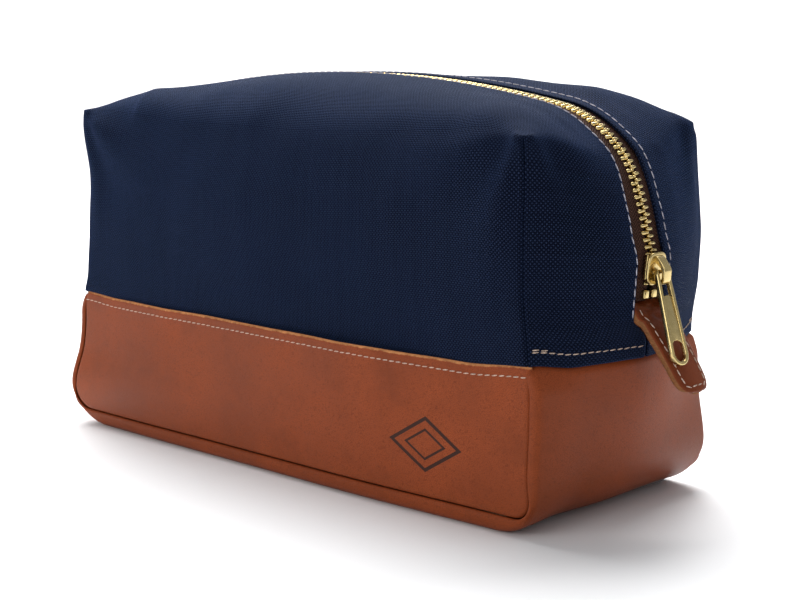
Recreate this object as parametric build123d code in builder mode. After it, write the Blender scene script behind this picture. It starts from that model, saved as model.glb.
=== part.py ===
"""Shaving kit bag: canvas upper, leather lower, brass zip that runs over the top and down both ends.

Millimetres. +X runs along the bag towards the zip slider, +Z is up, and the origin is the centre of
the footprint, on the surface that the bag stands on.
"""

from math import asin, cos, degrees, pi, radians, sin, sqrt, tan
import os

from build123d import *

# ---- overall sizes ----
half_length = 127.0  # to the upright seams at the four corners
half_depth = 49.0  # to the outside of the canvas, front and back
crown_height = 152.5  # outside of the canvas on the zip line, mid bag
shoulder_drop = 19.5  # from the crown to where the front wall turns into the top
zone_half = 17.5  # flat zone each side of the zip line

# ---- zip line, seen from the front: a long flat arc between two corner arcs ----
top_radius = 540.0
corner_radius = 52.0
end_bow = 14.0  # how far the zip line stands out past the upright seams
side_lean = 4.0  # degrees that the ends lean in below the corner arcs

# ---- leather lower part ----
leather = 1.8
leather_height = 57.0  # top edge of the leather, front, back and ends
leather_bulge = 10.3  # how far the end leather stands out in the middle
foot_radius = 12.0
end_lap = 8.0  # leather tucked up behind the end canvas
front_lap = 12.0  # canvas tucked down behind the front leather

# ---- canvas, lining, board ----
canvas = 1.2
lining = 0.8
lining_drop = 36.5  # from the crown to the top of the lining walls
lining_margin = 2.2  # lining walls inside the upright seams
lining_corner = 10.0
board = 2.4
board_margin = 9.0
binding_width = 8.0
binding = 2.0
pocket_width = 180.0
pocket_height = 70.0
pocket_gap = 6.0
pocket_rise = 14.0  # pocket's lower edge above the lining floor
skin_gap = 0.1  # between layers that lie on each other

# ---- zip ----
zip_gap = 8.6  # from the zip line to each canvas edge
tape = 0.7
tape_reach = 16.0
tape_rise = 20.0  # from the top of the leather to the lower end of the tapes  # lower end of the tapes
tooth_pitch = 2.5
tooth_length = 1.0
tooth_reach = 3.6  # from the zip line to the back of a tooth
tooth_slot = 1.7  # depth of the slot that grips the tape
tooth_thickness = 2.6
row_gap = 0.7  # from the zip line to the tip of a tooth
mouth_rise = 20.0  # from there to the line that the two lips turn about
mouth_turn = 25.0  # degrees that each lip turns, at most
lip_clearance = 3.0
stop_length = 3.0

# ---- slider and pull ----
slider_length = 11.0
slider_width = 10.4
slider_tail = 7.8
slider_plate = 1.1
slider_room = 0.7  # over and under the teeth
flange = 0.8
post_width = 0.8
post_length = 3.0
slider_rise = 11.2  # from the lower end of the tapes to the middle of the slider at rest
bridge_width = 2.6
bridge_bar = 1.3
bridge_rise = 4.6
pivot_up = -1.5  # from the middle of the slider
pivot_out = 2.0  # from its outer face
pull_length = 33.0
pull_width = 9.2
pull_top_width = 7.2
pull_thickness = 1.8
pull_lean = 20.5  # degrees out from upright where it rests
pull_skew = 6.0  # degrees sideways, because its eye is loose on the bridge
pull_eye_length = 5.6
eye_play = 0.7  # from the pivot to the edge of the eye
eye_margin = 1.5  # from the pivot to the top of the pull
pull_eye_width = 4.4
pull_hole_length = 7.0
pull_hole_width = 4.6

# ---- leather grip tabs at the ends of the zip ----
tab_width = 16.6
tab_thickness = 3.2
tab_round = 6.0
tab_root_drop = 4.5  # below the tapes
tab_drop = 24.0  # from its root down to its tip
tab_out = 15.5  # how far its tip stands out from the zip line
tab_tuck = 3.5
gate_drop = 4.5  # the canvas gap closes this far below the root of the tab

# ---- worked out ----
corner_x = half_length + end_bow - corner_radius
shoulder_height = crown_height - shoulder_drop
lining_height = crown_height - lining_drop
arc_share = asin(corner_x / (top_radius - corner_radius))
top_centre_z = crown_height - top_radius
corner_z = top_centre_z + (top_radius - corner_radius) * cos(arc_share)
tilt = degrees(arc_share)
reach_x = corner_x + corner_radius  # furthest the zip line goes out
tape_bottom = leather_height + tape_rise
mouth_height = tape_bottom + mouth_rise
tab_root_height = tape_bottom - tab_root_drop
tab_tip_height = tab_root_height - tab_drop
tab_tip_x = reach_x + tab_out
gate_bottom = tab_root_height - gate_drop
leather_depth = half_depth + leather
gusset_mid = reach_x - 2.4 - canvas
gusset_corner = gusset_mid - leather_bulge
chain_depth = canvas + skin_gap + tape / 2  # middle of the tape below the canvas surface
over = 40.0  # how far cutting shapes run past what they cut


def side_x(z, inset=0.0):
    """Where the end of the bag is on the zip line, at a given height."""
    lean = radians(side_lean)
    radius = corner_radius - inset
    start_x = corner_x + radius * cos(lean)
    start_z = corner_z - radius * sin(lean)
    if z > start_z:
        return corner_x + sqrt(radius**2 - (z - corner_z) ** 2)
    return start_x - (start_z - z) * sin(lean) / cos(lean)


def arch(inset, floor):
    """The bag's outline from the front, taken in by inset, down to height floor."""
    with BuildSketch(Plane.XZ) as face:
        with BuildLine():
            top = CenterArc((0, top_centre_z), top_radius - inset, 90 - tilt, 2 * tilt)
            right = CenterArc(
                (corner_x, corner_z), corner_radius - inset, -side_lean, 90 - tilt + side_lean
            )
            left = mirror(right, about=Plane.YZ)
            foot = (side_x(floor, inset), floor)
            Polyline(right @ 0, foot, (-foot[0], floor), (-(right @ 0).X, (right @ 0).Y))
        make_face()
    return face.sketch


def end_roof(inset):
    """The bag's outline from above: a flat zone at the zip, then straight back to the corner seams."""
    tip = reach_x + 0.3
    with BuildSketch() as face:
        with BuildLine():
            Polyline(
                (-tip, zone_half),
                (-half_length, half_depth),
                (half_length, half_depth),
                (tip, zone_half),
                (tip, -zone_half),
                (half_length, -half_depth),
                (-half_length, -half_depth),
                (-tip, -zone_half),
                close=True,
            )
        make_face()
        if inset:
            offset(amount=-inset, kind=Kind.INTERSECTION, mode=Mode.REPLACE)
    return face.sketch


def gable(inset, floor):
    """The bag's outline from the end, taken in by inset."""
    with BuildSketch(Plane.YZ) as face:
        with BuildLine():
            Polyline(
                (-half_depth, floor - over),
                (-half_depth, shoulder_height),
                (-zone_half, crown_height + 0.1),
                (zone_half, crown_height + 0.1),
                (half_depth, shoulder_height),
                (half_depth, floor - over),
                close=True,
            )
        make_face()
        fillet(face.vertices().group_by(Axis.Y)[-1], 6.0)
        fillet(face.vertices().filter_by(lambda v: abs(v.Y - shoulder_height) < 0.01), 8.0)
        if inset:
            offset(amount=-inset, kind=Kind.INTERSECTION, mode=Mode.REPLACE)
    return face.sketch


def envelope(inset, floor):
    """The upper body as one block, taken in by inset all round, down to height floor."""
    outlines = (arch(inset, floor), end_roof(inset), gable(inset, floor))
    with BuildPart() as block:
        add(prism(outlines[0], half_depth + over))
        for outline in outlines[1:]:
            add(prism(outline, crown_height + over), mode=Mode.INTERSECT)
    return block.part


def prism(outline, reach):
    """A block that runs the same distance to both sides of an outline."""
    return extrude(outline, reach, both=True, mode=Mode.PRIVATE)


def slab(x, y, z):
    """A box given by its two limits on each axis."""
    size = (x[1] - x[0], y[1] - y[0], z[1] - z[0])
    middle = (sum(x) / 2, sum(y) / 2, sum(z) / 2)
    return Pos(*middle) * Box(*size, mode=Mode.PRIVATE)


def write(part, name):
    """Labels a finished piece and writes its STEP file."""
    part.label = name
    export_step(part, f"parts/{name}.step")


def mirrored(part, plane):
    """The same piece on the other side."""
    with BuildPart() as twin:
        mirror(part, about=plane, mode=Mode.ADD)
    return twin.part


os.makedirs("parts", exist_ok=True)
wide = (-reach_x - over, reach_x + over)
tall = crown_height + over

# ---- canvas: each panel is one T-shaped piece, the front wall, half the top and half of each end ----
canvas_floor = leather_height - front_lap
with BuildPart() as front_canvas:
    add(envelope(0, canvas_floor))
    add(envelope(canvas, canvas_floor - over), mode=Mode.SUBTRACT)
    add(slab(wide, (-half_depth - over, -skin_gap), (canvas_floor, tall)), mode=Mode.INTERSECT)
    # the end flaps stop at the top of the leather
    flap_edge = -half_depth + canvas
    add(slab(wide, (flap_edge, over), (canvas_floor - over, leather_height)), mode=Mode.SUBTRACT)
    # behind the leather only the front wall goes on down, between the seams
    seam_x = gusset_corner - leather - 1
    for side in ((seam_x, wide[1]), (wide[0], -seam_x)):
        add(slab(side, (-half_depth - over, over), (canvas_floor - over, leather_height)), mode=Mode.SUBTRACT)
    # the slot that the zip shows in
    add(slab(wide, (-zip_gap, over), (gate_bottom, tall)), mode=Mode.SUBTRACT)
write(front_canvas.part, "front_canvas_panel")
write(mirrored(front_canvas.part, Plane.XZ), "back_canvas_panel")


# ---- leather gusset: one strip, up the left end, under the bag and up the right end ----
def tub(inset, reach_y, low, high, foot):
    """A block with bowed ends and rounded feet."""
    corner = gusset_corner - inset
    mid = gusset_mid - inset
    bow = leather_bulge / leather_depth**2  # keeps the same curve when it is cut wider
    edge = mid - bow * reach_y**2
    with BuildPart() as block:
        with BuildSketch(Plane.XY.offset(low)):
            with BuildLine():
                right = ThreePointArc((edge, -reach_y), (mid, 0), (edge, reach_y))
                left = ThreePointArc((-edge, -reach_y), (-mid, 0), (-edge, reach_y))
                Line(right @ 0, left @ 0)
                Line(right @ 1, left @ 1)
            make_face()
        extrude(amount=high - low)
        ends = block.edges().group_by(Axis.Z)[0].filter_by(GeomType.CIRCLE)
        fillet(ends, foot)
    return block.part


with BuildPart() as gusset:
    add(tub(0, leather_depth, 0, leather_height, foot_radius))
    add(
        tub(leather, leather_depth + 5, leather, tall, foot_radius - leather),
        mode=Mode.SUBTRACT,
    )
    lap_face = canvas + skin_gap
    with BuildPart(mode=Mode.PRIVATE) as lap:
        add(envelope(lap_face, leather_height - over))
        add(envelope(lap_face + leather, leather_height - 2 * over), mode=Mode.SUBTRACT)
        lap_y = half_depth - lap_face - leather - skin_gap
        add(
            slab(wide, (-lap_y, lap_y), (leather_height - 2, leather_height + end_lap)),
            mode=Mode.INTERSECT,
        )
    add(lap.part)
write(gusset.part, "gusset_leather")

# ---- leather front and back panels, set inside the edge of the gusset ----
panel_half = gusset_corner - leather - 2 * skin_gap
with BuildPart() as front_leather:
    with BuildSketch(Plane.XZ.offset(half_depth)) as outline:
        with Locations((0, (leather + skin_gap + leather_height) / 2)):
            Rectangle(2 * panel_half, leather_height - leather - skin_gap)
        fillet(outline.vertices().group_by(Axis.Y)[0], foot_radius - leather)
    extrude(amount=leather)
write(front_leather.part, "front_leather_panel")
write(mirrored(front_leather.part, Plane.XZ), "back_leather_panel")

# ---- board that keeps the base flat ----
floor_z = leather + skin_gap
with BuildPart() as base_board:
    with BuildSketch(Plane.XY.offset(floor_z)) as outline:
        Rectangle(2 * (gusset_corner - board_margin), 2 * (half_depth - 1.5))
        fillet(outline.vertices(), 8.0)
    extrude(amount=board)
write(base_board.part, "base_board")

# ---- lining: a strip round the ends and floor, and a sheet front and back ----
lining_floor = floor_z + board + skin_gap
lining_half = gusset_corner - lining_margin
lining_y = half_depth - canvas - 1.0


def lining_outline(inset, top=lining_height):
    """Outline of the lining from the front."""
    with BuildSketch(Plane.XZ) as face:
        low = lining_floor + inset
        with Locations((0, (low + top) / 2)):
            Rectangle(2 * (lining_half - inset), top - low)
        fillet(face.vertices().group_by(Axis.Y)[0], lining_corner - inset)
    return face.sketch


def front_sheet(outline, outer_y, thickness):
    """A sheet of the given outline whose outer face is outer_y in front of the middle."""
    with BuildPart() as sheet:
        add(prism(outline, outer_y))
        cut = slab((-reach_x, reach_x), (-outer_y + thickness, outer_y + over), (-over, tall))
        add(cut, mode=Mode.SUBTRACT)
    return sheet.part


with BuildPart() as lining_gusset:
    add(prism(lining_outline(0), lining_y - lining - skin_gap))
    add(prism(lining_outline(lining, lining_height + over), lining_y + over), mode=Mode.SUBTRACT)
write(lining_gusset.part, "lining_gusset")

with BuildPart() as lining_front:
    add(front_sheet(lining_outline(0), lining_y, lining))
write(lining_front.part, "lining_front")
write(mirrored(lining_front.part, Plane.XZ), "lining_back")

# ---- lining collars: join the lining walls to the zip tapes ----
collar_face = canvas + skin_gap + tape + skin_gap
with BuildPart() as front_collar:
    add(envelope(collar_face, lining_height - over))
    add(envelope(collar_face + lining, lining_height - 2 * over), mode=Mode.SUBTRACT)
    add(
        slab(wide, (-half_depth, -tape_reach + 4), (lining_height + 0.5, tall)),
        mode=Mode.INTERSECT,
    )
write(front_collar.part, "lining_collar_front")
write(mirrored(front_collar.part, Plane.XZ), "lining_collar_back")

# ---- binding over the raw lining seams, inside ----
binding_y = lining_y - lining - skin_gap
with BuildPart() as front_binding:
    add(front_sheet(lining_outline(lining + skin_gap), binding_y, binding))
    inner_edge = lining_outline(lining + skin_gap + binding_width, lining_height + over)
    add(front_sheet(inner_edge, binding_y + over, 3 * over), mode=Mode.SUBTRACT)
write(front_binding.part, "seam_binding_front")
write(mirrored(front_binding.part, Plane.XZ), "seam_binding_back")

# ---- slip pocket on the back lining, open at the top ----
pocket_low = lining_floor + pocket_rise
pocket_y = lining_y - lining - skin_gap
with BuildPart() as pocket:
    with BuildSketch(Plane.XZ.offset(-pocket_y)) as outline:
        with Locations((0, pocket_low + pocket_height / 2)):
            Rectangle(pocket_width, pocket_height)
        fillet(outline.vertices().group_by(Axis.Y)[0], 8.0)
    extrude(amount=pocket_gap + lining)
    with BuildSketch(Plane.XZ.offset(-pocket_y)) as hollow:
        with Locations((0, pocket_low + pocket_height / 2 + over / 2 + lining)):
            Rectangle(pocket_width - 2 * lining, pocket_height + over)
        fillet(hollow.vertices().group_by(Axis.Y)[0], 8.0 - lining)
    extrude(amount=pocket_gap, mode=Mode.SUBTRACT)
write(pocket.part, "slip_pocket")

# ---- zip tapes: the two lips, and the short ends that the slider and stops sit on ----
tape_face = canvas + skin_gap


def tape_strip(low, high):
    """A tape on the front side of the zip line between two heights."""
    with BuildPart() as strip:
        add(prism(arch(tape_face, tape_bottom), half_depth))
        add(prism(arch(tape_face + tape, tape_bottom - over), half_depth + over), mode=Mode.SUBTRACT)
        edge = tooth_reach - tooth_slot + skin_gap
        add(slab(wide, (-tape_reach, -edge), (low, high)), mode=Mode.INTERSECT)
    return strip.part


with BuildPart() as lip_tape:
    add(tape_strip(mouth_height + skin_gap, tall))
    # the lower edge slants, so that it comes level when the lip is fully turned
    with BuildSketch(Plane.YZ) as wedge:
        slant = tan(radians(mouth_turn + 1))
        with BuildLine():
            Polyline(
                (0, mouth_height - over),
                (-over, mouth_height - over),
                (-over, mouth_height + skin_gap + over * slant),
                (0, mouth_height + skin_gap),
                close=True,
            )
        make_face()
    add(prism(wedge.sketch, reach_x + over), mode=Mode.SUBTRACT)
write(lip_tape.part, "zip_tape_front")
write(mirrored(lip_tape.part, Plane.XZ), "zip_tape_back")
with BuildPart() as tape_ends_front:
    add(tape_strip(tape_bottom, mouth_height - skin_gap))
end_pair = tape_ends_front.part.solids().sort_by(Axis.X)


# ---- zip teeth ----
def zip_point(s):
    """Plane on the middle of the chain, s along the zip line from the crown: X is Y, normal is along the line."""
    flat = top_radius * arc_share
    side = abs(s)
    radius = corner_radius - chain_depth
    if side <= flat:
        angle = pi / 2 - side / top_radius
        x = (top_radius - chain_depth) * cos(angle)
        z = top_centre_z + (top_radius - chain_depth) * sin(angle)
    else:
        angle = pi / 2 - arc_share - (side - flat) / corner_radius
        if angle >= -radians(side_lean):
            x = corner_x + radius * cos(angle)
            z = corner_z + radius * sin(angle)
        else:
            down = (-radians(side_lean) - angle) * corner_radius
            angle = -radians(side_lean)
            x = corner_x + radius * cos(angle) + down * sin(angle)
            z = corner_z + radius * sin(angle) - down * cos(angle)
    turn = 1 if s >= 0 else -1
    along = (turn * sin(angle) * turn, 0, -cos(angle) * turn)
    return Plane(origin=(turn * x, 0, z), x_dir=(0, 1, 0), z_dir=along)


with BuildSketch() as tooth_face:
    half = tooth_thickness / 2
    grip = tape / 2 + 0.1
    mouth = -tooth_reach + tooth_slot
    with BuildLine():
        Polyline(
            (-tooth_reach, half),
            (-row_gap, half),
            (-row_gap, -half),
            (-tooth_reach, -half),
            (-tooth_reach, -grip),
            (mouth, -grip),
            (mouth, grip),
            (-tooth_reach, grip),
            close=True,
        )
    make_face()
with BuildPart() as tooth:
    add(tooth_face.sketch)
    extrude(amount=tooth_length / 2, both=True)


def tooth_row(starts):
    """Teeth of the front row at the given places along the zip line."""
    with BuildPart() as row:
        with Locations(*[Location(zip_point(s)) for s in starts]):
            add(tooth.part)
    return row.part


def height_at(s):
    return zip_point(s).origin.Z


places = [tooth_pitch * (n + 0.25) for n in range(-90, 90)]
lip_places = [s for s in places if height_at(s) > mouth_height + lip_clearance]
end_places = [
    s for s in places if tape_bottom + stop_length + 1.4 < height_at(s) < mouth_height - 1
]
front_row = tooth_row(lip_places)
back_row = mirrored(tooth_row([-s for s in lip_places]), Plane.XZ)
write(front_row, "zip_teeth_front")
write(back_row, "zip_teeth_back")

for side, name in ((1, "right"), (-1, "left")):
    near = [s for s in end_places if s * side > 0]
    far = [-s for s in end_places if -s * side > 0]
    with BuildPart() as end_tapes:
        add(end_pair[-1] if side > 0 else end_pair[0])
        mirror(about=Plane.XZ)
    write(end_tapes.part, f"zip_tape_end_{name}")
    with BuildPart() as end_teeth:
        add(tooth_row(near))
        add(mirrored(tooth_row(far), Plane.XZ))
    write(end_teeth.part, f"zip_teeth_end_{name}")

# ---- stops: a brass clip on each tape at the right, one box over both at the left ----
stop_z = tape_bottom + stop_length / 2 + 0.6
stop_x = side_x(stop_z, chain_depth)
stop_plane = Plane(origin=(stop_x, 0, stop_z), x_dir=(0, 1, 0), z_dir=(-sin(radians(side_lean)), 0, -cos(radians(side_lean))))
with BuildPart() as top_stops:
    with Locations(Location(stop_plane)):
        add(prism(tooth_face.sketch, stop_length / 2))
    mirror(about=Plane.XZ)
write(top_stops.part, "zip_stops_right")

with BuildPart() as box_stop:
    with BuildSketch(stop_plane.rotated((0, 0, 0))) as outline:
        Rectangle(2 * tooth_reach, tooth_thickness)
        with Locations((tooth_reach, 0), (-tooth_reach, 0)):
            Rectangle(2 * tooth_slot, tape + 0.2, mode=Mode.SUBTRACT)
    extrude(amount=stop_length / 2, both=True)
write(mirrored(box_stop.part, Plane.YZ), "zip_stop_left")

# ---- slider: two plates joined by a thin post, flanges at the sides, a bridge for the pull ----
slider_radius = corner_radius - chain_depth
rest = asin((tape_bottom + slider_rise - corner_z) / slider_radius)
slider_plane = Plane(
    origin=(corner_x + slider_radius * cos(rest), 0, corner_z + slider_radius * sin(rest)),
    x_dir=(0, 1, 0),
    z_dir=(cos(rest), 0, sin(rest)),
)  # X is across the zip, Y is up the zip, normal is out of the bag
plate_face = tooth_thickness / 2 + slider_room
flange_face = tape / 2 + 0.7


with BuildSketch() as shield:
    with BuildLine():
        Polyline(
            (-slider_width / 2, -slider_length / 2 + 2),
            (-slider_width / 2 + 2, -slider_length / 2),
            (slider_width / 2 - 2, -slider_length / 2),
            (slider_width / 2, -slider_length / 2 + 2),
            (slider_width / 2, 0),
            (slider_tail / 2 + 0.9, slider_length / 2),
            (-slider_tail / 2 - 0.9, slider_length / 2),
            (-slider_width / 2, 0),
            close=True,
        )
    make_face()
with BuildSketch() as flanges:
    with BuildLine() as strip:
        Polyline(
            (slider_width / 2, -slider_length / 2 + 2),
            (slider_width / 2, 0),
            (slider_tail / 2 + 0.9, slider_length / 2),
            (slider_tail / 2 + 0.9 - flange, slider_length / 2),
            (slider_width / 2 - flange, 0),
            (slider_width / 2 - flange, -slider_length / 2 + 2),
            close=True,
        )
    make_face()
    mirror(about=Plane.YZ)

with BuildPart() as slider:
    for direction in (1, -1):
        with BuildSketch(slider_plane.offset(direction * plate_face)):
            add(shield.sketch)
        extrude(amount=direction * slider_plate)
    # flanges hold the rows together, and leave a slit each side for the tapes
    for face in (flange_face, -plate_face):
        with BuildSketch(slider_plane.offset(face)):
            add(flanges.sketch)
        extrude(amount=plate_face - flange_face)
    # the post runs between the two rows
    with BuildSketch(slider_plane.offset(-plate_face)):
        with Locations((0, -slider_length / 2 + post_length / 2)):
            Rectangle(post_width, post_length)
    extrude(amount=2 * plate_face)
    # bridge: an arched bar over the foot of the slider, for the eye of the pull
    bridge_plane = Plane(
        origin=slider_plane.from_local_coords((0, 0, plate_face + slider_plate)),
        x_dir=slider_plane.y_dir,
        z_dir=slider_plane.x_dir,
    )
    with BuildSketch(bridge_plane):
        low = -slider_length / 2 + 0.4
        high = 3.4
        with BuildLine():
            Polyline(
                (low, -0.1), (low, bridge_rise - 1.5), (low + 1.5, bridge_rise),
                (high - 2.6, bridge_rise), (high, 1.6), (high, -0.1), close=True,
            )
        make_face()
        with BuildLine():
            Polyline(
                (low + bridge_bar, -0.1), (low + bridge_bar, bridge_rise - 1.9),
                (low + 1.9, bridge_rise - bridge_bar), (high - 3.1, bridge_rise - bridge_bar),
                (high - bridge_bar, 1.2), (high - bridge_bar, -0.1), close=True,
            )
        make_face(mode=Mode.SUBTRACT)
    extrude(amount=bridge_width / 2, both=True)
write(slider.part, "zip_slider")

# ---- pull: a flat brass tongue, eye at the top, oval hole at the foot ----
pivot = slider_plane.from_local_coords((0, pivot_up, plate_face + slider_plate + pivot_out))
lean = radians(pull_lean)
skew = radians(pull_skew)
down_dir = Vector(sin(lean) * cos(skew), -sin(skew), -cos(lean) * cos(skew))
out_dir = Vector(cos(lean), 0, sin(lean))
pull_plane = Plane(origin=pivot, x_dir=down_dir, z_dir=out_dir)
with BuildPart() as pull:
    with BuildSketch(pull_plane.offset(-pull_thickness / 2)):
        top = -eye_margin
        foot = top + pull_length
        foot_round = pull_width / 2
        with BuildLine():
            head = ThreePointArc(
                (top + 1.6, pull_top_width / 2), (top, 0), (top + 1.6, -pull_top_width / 2)
            )
            bowl = CenterArc((foot - foot_round, 0), foot_round, -90, 180)
            Line(head @ 1, bowl @ 0)
            Line(bowl @ 1, head @ 0)
        make_face()
        with Locations((pull_eye_length / 2 - eye_play, 0)):
            RectangleRounded(pull_eye_length, pull_eye_width, 1.2, mode=Mode.SUBTRACT)
        with Locations((foot - 2.0 - pull_hole_length / 2, 0)):
            SlotOverall(pull_hole_length, pull_hole_width, mode=Mode.SUBTRACT)
    extrude(amount=pull_thickness)
write(pull.part, "zip_pull")

# ---- grip tabs: a leather strip folded double, rooted in the gap below the zip ----
root_x = side_x(tab_root_height)
tab_run = Vector(tab_tip_x - root_x, 0, tab_tip_height - tab_root_height)
tab_dir = tab_run.normalized()
tab_normal = Vector(-tab_dir.Z, 0, tab_dir.X)
tab_plane = Plane(origin=(root_x, 0, tab_root_height), x_dir=tab_dir, z_dir=tab_normal)
with BuildPart() as tab:
    with BuildSketch(tab_plane.offset(-tab_thickness / 2)) as outline:
        with Locations(((tab_run.length - tab_tuck) / 2, 0)):
            Rectangle(tab_run.length + tab_tuck, tab_width)
        tip_corners = outline.vertices().sort_by_distance(Vector(tab_tip_x, 0, tab_tip_height))[:2]
        fillet(tip_corners, tab_round)
    extrude(amount=tab_thickness)
write(tab.part, "grip_tab_right")
write(mirrored(tab.part, Plane.YZ), "grip_tab_left")

print("zip corner centre", round(corner_x, 3), round(corner_z, 3))
print("pull pivot", pivot)
print("gusset corner, middle", gusset_corner, gusset_mid)
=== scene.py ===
"""Looks of the shaving kit bag: soft canvas shell, leather base, brass zip and lining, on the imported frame."""

import math

import bmesh
import bpy
import numpy as np
from bpy.props import FloatProperty, FloatVectorProperty, PointerProperty
from mathutils import Matrix, Vector, noise


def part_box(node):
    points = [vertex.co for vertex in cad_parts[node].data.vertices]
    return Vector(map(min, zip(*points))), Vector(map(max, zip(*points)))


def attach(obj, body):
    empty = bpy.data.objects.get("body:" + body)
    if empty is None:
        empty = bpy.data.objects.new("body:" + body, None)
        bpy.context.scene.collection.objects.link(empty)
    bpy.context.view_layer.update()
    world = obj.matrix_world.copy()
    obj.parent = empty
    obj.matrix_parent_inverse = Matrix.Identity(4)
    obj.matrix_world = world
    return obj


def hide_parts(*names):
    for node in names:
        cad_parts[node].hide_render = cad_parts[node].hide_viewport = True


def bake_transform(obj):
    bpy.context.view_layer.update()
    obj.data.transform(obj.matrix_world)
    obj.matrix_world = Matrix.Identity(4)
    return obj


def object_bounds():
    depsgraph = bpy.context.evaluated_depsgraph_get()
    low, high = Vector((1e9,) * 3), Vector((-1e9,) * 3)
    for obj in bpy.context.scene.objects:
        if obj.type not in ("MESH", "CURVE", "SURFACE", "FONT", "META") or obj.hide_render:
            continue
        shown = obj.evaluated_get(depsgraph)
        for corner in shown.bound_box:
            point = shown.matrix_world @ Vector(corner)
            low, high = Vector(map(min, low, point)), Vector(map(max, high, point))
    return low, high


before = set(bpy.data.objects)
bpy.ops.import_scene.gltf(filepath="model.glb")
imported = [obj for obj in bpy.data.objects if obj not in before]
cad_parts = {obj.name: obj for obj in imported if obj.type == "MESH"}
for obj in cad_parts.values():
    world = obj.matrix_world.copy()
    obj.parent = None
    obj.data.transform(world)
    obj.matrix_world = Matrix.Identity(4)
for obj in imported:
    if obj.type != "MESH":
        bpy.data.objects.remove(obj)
CAD_LOW, CAD_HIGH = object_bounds()

bl_info = {
    "name": "Shaving kit bag",
    "version": (1, 0, 0),
    "blender": (4, 5, 0),
    "location": "3D View > Sidebar > Kit bag",
    "description": "Builds a canvas and leather shaving kit bag round its packed frame",
    "category": "Add Mesh",
}

MM = 0.001

# The zip line, in millimetres: a long flat arc between two corner arcs, then straight down the ends
TOP_RADIUS = 540.0
CORNER_RADIUS = 52.0
CORNER_X = 89.0
END_LEAN = math.radians(4.0)
TOP_SHARE = math.asin(CORNER_X / (TOP_RADIUS - CORNER_RADIUS))
FLAT_RUN = TOP_RADIUS * TOP_SHARE
CORNER_RUN = CORNER_RADIUS * (math.pi / 2 - TOP_SHARE + END_LEAN)
PINCH_RUN = 133.0  # along the zip line, level with the pinched corner of the canvas
PINCH = (120.9, 46.5, 134.5)  # the pinched corner itself
SEAM_HEIGHTS = (57.0, 59.0, 81.0, 97.0, 109.0, 126.0, 134.5)
SEAM_PLACES = (126.8, 126.6, 124.9, 124.0, 122.9, 121.6, 120.9)
FOLD_SQUARES, SEAM_SQUARES, TUCK_SQUARES = 132, 44, 5  # of cloth: along the fold, down a seam, under the leather


# ---- settings ----
class KitBagSizes(bpy.types.PropertyGroup):
    """Sizes of the bag's soft and sewn parts"""

    crown_height: FloatProperty(
        name="Crown height", description="Outside of the canvas at mid bag",
        default=CAD_HIGH.z, unit="LENGTH",
    )
    leather_height: FloatProperty(
        name="Leather height", description="Top edge of the leather",
        default=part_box("front_leather_panel")[1].z, unit="LENGTH",
    )
    canvas_thickness: FloatProperty(
        name="Canvas thickness", description="Coated canvas", default=0.0012, unit="LENGTH",
    )
    leather_thickness: FloatProperty(
        name="Leather thickness", description="Base and lower walls", default=0.0018, unit="LENGTH",
    )
    zip_edge: FloatProperty(
        name="Zip edge", description="From the zip line to the folded edge of the canvas",
        default=0.0086, unit="LENGTH",
    )
    tooth_pitch: FloatProperty(
        name="Tooth pitch", description="From tooth to tooth in one row", default=0.0025, unit="LENGTH",
    )
    stitch_length: FloatProperty(
        name="Stitch length", description="From one needle hole to the next", default=0.0030, unit="LENGTH",
    )
    thread: FloatProperty(
        name="Thread", description="Thickness of the sewing thread", default=0.00048, unit="LENGTH",
    )
    weave: FloatProperty(
        name="Weave pitch", description="From one canvas thread to the next", default=0.00072, unit="LENGTH",
    )


class KitBagColours(bpy.types.PropertyGroup):
    """Colours of the bag's materials"""

    canvas: FloatVectorProperty(
        name="Canvas", description="Threads of the canvas", subtype="COLOR",
        default=(0.0036, 0.0062, 0.0176), min=0, max=1,
    )
    leather: FloatVectorProperty(
        name="Leather", description="Dressed face of the leather", subtype="COLOR",
        default=(0.25, 0.051, 0.0135), min=0, max=1,
    )
    raw_edge: FloatVectorProperty(
        name="Raw edge", description="Cut edge of the leather", subtype="COLOR",
        default=(0.66, 0.27, 0.10), min=0, max=1,
    )
    thread: FloatVectorProperty(
        name="Thread", description="Topstitching", subtype="COLOR",
        default=(0.56, 0.42, 0.34), min=0, max=1,
    )
    brass: FloatVectorProperty(
        name="Brass", description="Teeth, slider and pull", subtype="COLOR",
        default=(0.68, 0.52, 0.23), min=0, max=1,
    )
    tape: FloatVectorProperty(
        name="Zip tape", description="Woven tape of the zip", subtype="COLOR",
        default=(0.034, 0.015, 0.010), min=0, max=1,
    )
    lining: FloatVectorProperty(
        name="Lining", description="Cotton lining", subtype="COLOR",
        default=(0.42, 0.36, 0.26), min=0, max=1,
    )


def sizes():
    return bpy.context.scene.kit_bag_sizes


def colours():
    return bpy.context.scene.kit_bag_colours


# ---- shapes of the cloth, in millimetres ----
def smooth(value, low, high):
    """0 below low, 1 above high, and an even turn between."""
    share = min(max((value - low) / (high - low), 0.0), 1.0)
    return share * share * (3 - 2 * share)


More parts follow.
